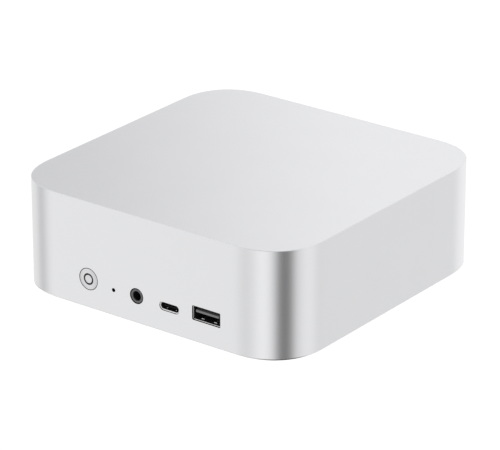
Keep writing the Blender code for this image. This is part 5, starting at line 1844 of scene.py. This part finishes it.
@dataclass
class Studio:
    """The camera at the photograph's angle, a white floor, and soft light with a few flags."""

    azimuth: float = math.radians(37.0)
    elevation: float = math.radians(22.85)
    distance: float = 1.2880
    target: tuple[float, float, float] = (0.613 * MM, -0.983 * MM, 21.646 * MM)
    lens: float = 233.62
    clip_start: float = 0.05
    floor_size: float = 6.0
    floor_light: float = 1.05
    card_distance: float = 0.20
    card_reach: float = 0.30
    card_heights: Pair = (0.06, 0.50)
    wall_light: float = 0.92
    pit_light: float = 0.08
    pit_fade: Pair = (0.76, 0.90)
    ceiling: Colour = (0.95, 0.95, 0.96)
    ceiling_fade: Pair = (0.0, 0.35)
    flag_rise: Pair = (0.48, 0.60)
    flag_fall: Pair = (0.86, 0.96)
    lamp_size: float = 0.30
    lamp_energy: float = 1.6
    lamp_place: tuple[float, float, float] = (0.60, -0.62, 0.16)

    def build(self) -> None:
        """Set the camera, the floor, the card behind, the surrounding light and the lamp."""
        bpy.context.scene.view_settings.view_transform = "Standard"
        self.camera()
        self.floor()
        self.card()
        self.surround()
        self.port_light()

    def back(self) -> Vector:
        """Return the direction from the target to the camera."""
        level, up = math.cos(self.elevation), math.sin(self.elevation)
        return Vector((level * math.sin(self.azimuth), -level * math.cos(self.azimuth), up))

    @staticmethod
    def stand(data: bpy.types.ID, place: Vector, back: Vector) -> bpy.types.Object:
        """Stand a camera or a lamp in the studio.

        Args:
            data: The camera or the lamp.
            place: Where it stands.
            back: The direction that its back is turned to.

        Returns:
            Its object.
        """
        made = bpy.data.objects.new(data.name, data)
        bpy.context.scene.collection.objects.link(made)
        made.location = place
        made.rotation_euler = back.to_track_quat("Z", "Y").to_euler()
        return made

    @staticmethod
    def sheet(name: str, size: float, finish: Finish) -> Workpiece:
        """Lay a flat square on the ground, and dress it.

        Args:
            name: Its name.
            size: The length of its side.
            finish: Its finish.

        Returns:
            The sheet.
        """
        Workpiece.clear_bench()
        bpy.ops.mesh.primitive_plane_add(size=size)
        made = Workpiece(bpy.context.object, name)
        made.obj.data.materials.append(finish.material())
        return made

    def camera(self) -> None:
        """Stand the camera where the photograph was taken."""
        data = bpy.data.cameras.new("camera")
        data.lens = self.lens
        data.clip_start = self.clip_start
        place = Vector(self.target) + self.distance * self.back()
        bpy.context.scene.camera = self.stand(data, place, self.back())

    def floor(self) -> None:
        """Lay the white floor, which lights itself so that it stays even."""
        floor = self.sheet("floor", self.floor_size, EvenLight("white_floor", self.floor_light))
        floor.obj.visible_glossy = False

    def card(self) -> None:
        """Hang a graded white card behind the object, which only its top reflects."""
        behind = -self.back()
        behind.z = 0.0
        behind.normalize()
        side = Vector((-behind.y, behind.x, 0.0))
        card = self.sheet("graded_card", 1.0, GradedLight("graded_card", (side.x, side.y)))
        centre = behind * self.card_distance
        corners = [(across, height) for height in self.card_heights for across in (-1, 1)]
        for vert, (across, height) in zip(card.obj.data.vertices, corners):
            vert.co = centre - side * across * self.card_reach + Vector((0.0, 0.0, height))
        card.obj.visible_camera = False
        card.obj.visible_shadow = False
        card.obj.visible_diffuse = False

    def surround(self) -> None:
        """Light the object from all round, by direction: white, with a dark flag low at the near corner."""
        world = bpy.data.worlds.new("studio")
        bpy.context.scene.world = world
        world.use_nodes = True
        graph = Graph(world.node_tree)
        way = graph.node("ShaderNodeTexCoord", {}, {}).outputs["Generated"]
        x, y, z = (graph.value("ShaderNodeSeparateXYZ", {}, {0: way}, axis) for axis in (X, Y, Z))
        turn = x.arctan2(-1.0 * y) * (180.0 / math.pi)
        low = grey(self.wall_light)
        for panel in LOW_PANELS:
            low = panel.over(graph, turn, low)
        low = graph.mix((-1.0 * z).eased(*self.pit_fade), low, grey(self.pit_light))
        flagged = CEILING_FLAG.over(graph, turn, self.ceiling)
        band = z.eased(*self.flag_rise) * (1.0 - z.eased(*self.flag_fall))
        high = graph.mix(band, self.ceiling, flagged)
        graph.glow(graph.mix(z.eased(*self.ceiling_fade), low, high), 1.0, world=True)

    def port_light(self) -> None:
        """Add a soft lamp low at the right of the camera, which only lights what is not mirror-like."""
        data = bpy.data.lights.new("port_light", "AREA")
        data.size = self.lamp_size
        data.energy = self.lamp_energy
        lamp = self.stand(data, Vector(self.lamp_place), Vector(self.lamp_place))
        lamp.visible_glossy = False


GOLD = Copper("contact_gold", (0.86, 0.64, 0.30), (0.62, 0.42, 0.16), 0.22)
LOW_PANELS = [
    Panel(-105.0, 12.0, 18.0, 0.96),
    Panel(-71.0, 2.0, 15.0, 0.60),
    Panel(-43.0, 6.0, 10.0, 1.065),
    Panel(-22.0, 2.0, 13.0, 0.80),
    Panel(12.0, 6.0, 14.0, 1.10),
    Panel(57.35, 8.0, 26.0, 0.174, 1.19),
    Panel(112.0, 4.0, 17.0, 1.01),
    Panel(139.5, 5.0, 12.0, 0.82),
    Panel(180.0, 16.0, 16.0, 1.06),
]
CEILING_FLAG = Panel(30.0, 40.0, 40.0, 0.25)
FRONT_MILLS = [
    Mill("front_wide_socket_shell", 0.5 * MM, 4, 0.10 * MM, 0.03 * MM),
    Mill("front_slim_socket_shell", 1.68 * MM, 10, 0.17 * MM, 0.06 * MM),
]
FRONT_SOCKETS = [
    # The slim socket's tongue is near black and dull: painted shade deep inside the socket.
    ShelledSocket(
        "front_slim_socket", Facing.FRONT, 1.68 * MM, wall=0.44 * MM, lit=0.30 * MM,
        tongue_colour=(0.004, 0.004, 0.0045), tongue_gloss=0.06, contacts=6, contact_width=0.35 * MM,
        springs=True, finger_start=1.5 * MM, finger_length=3.2 * MM, finger_width=0.5 * MM,
        finger_rise=0.18 * MM,
    ),
    ShelledSocket(
        "front_wide_socket", Facing.FRONT, 0.5 * MM, wall=0.33 * MM, lip=0.015 * MM, roll=0.05 * MM,
        shadow=0.25 * MM, roof_shade=0.75, tongue_colour=(0.13, 0.13, 0.134), springs=True,
    ),
]
REAR_SOCKETS = [
    ShelledSocket("rear_slim_socket", Facing.REAR, 1.5 * MM, contacts=6, contact_width=0.35 * MM),
    ShelledSocket(
        "tapered_video_socket", Facing.REAR, 1.7 * MM, Corners.TAPERED, contacts=9, contact_width=0.5 * MM
    ),
    ShelledSocket(
        "notched_video_socket", Facing.REAR, 2.0 * MM, Corners.NOTCHED, contacts=10, contact_width=0.5 * MM
    ),
]


def main() -> None:
    """Build every sub-assembly in order."""
    logging.basicConfig(level=logging.INFO, format="%(message)s")
    assemblies = [
        Housing(), PowerButton(), HeadphoneJack(), *FRONT_SOCKETS, *REAR_SOCKETS, StackedSocket(),
        NetworkSocket(), PowerInlet(), RearPanel(), Base(), Interior(), Studio(),
    ]
    for assembly in assemblies:
        assembly.build()
    Workpiece.clear_bench()


if __name__ == "__main__":
    main()
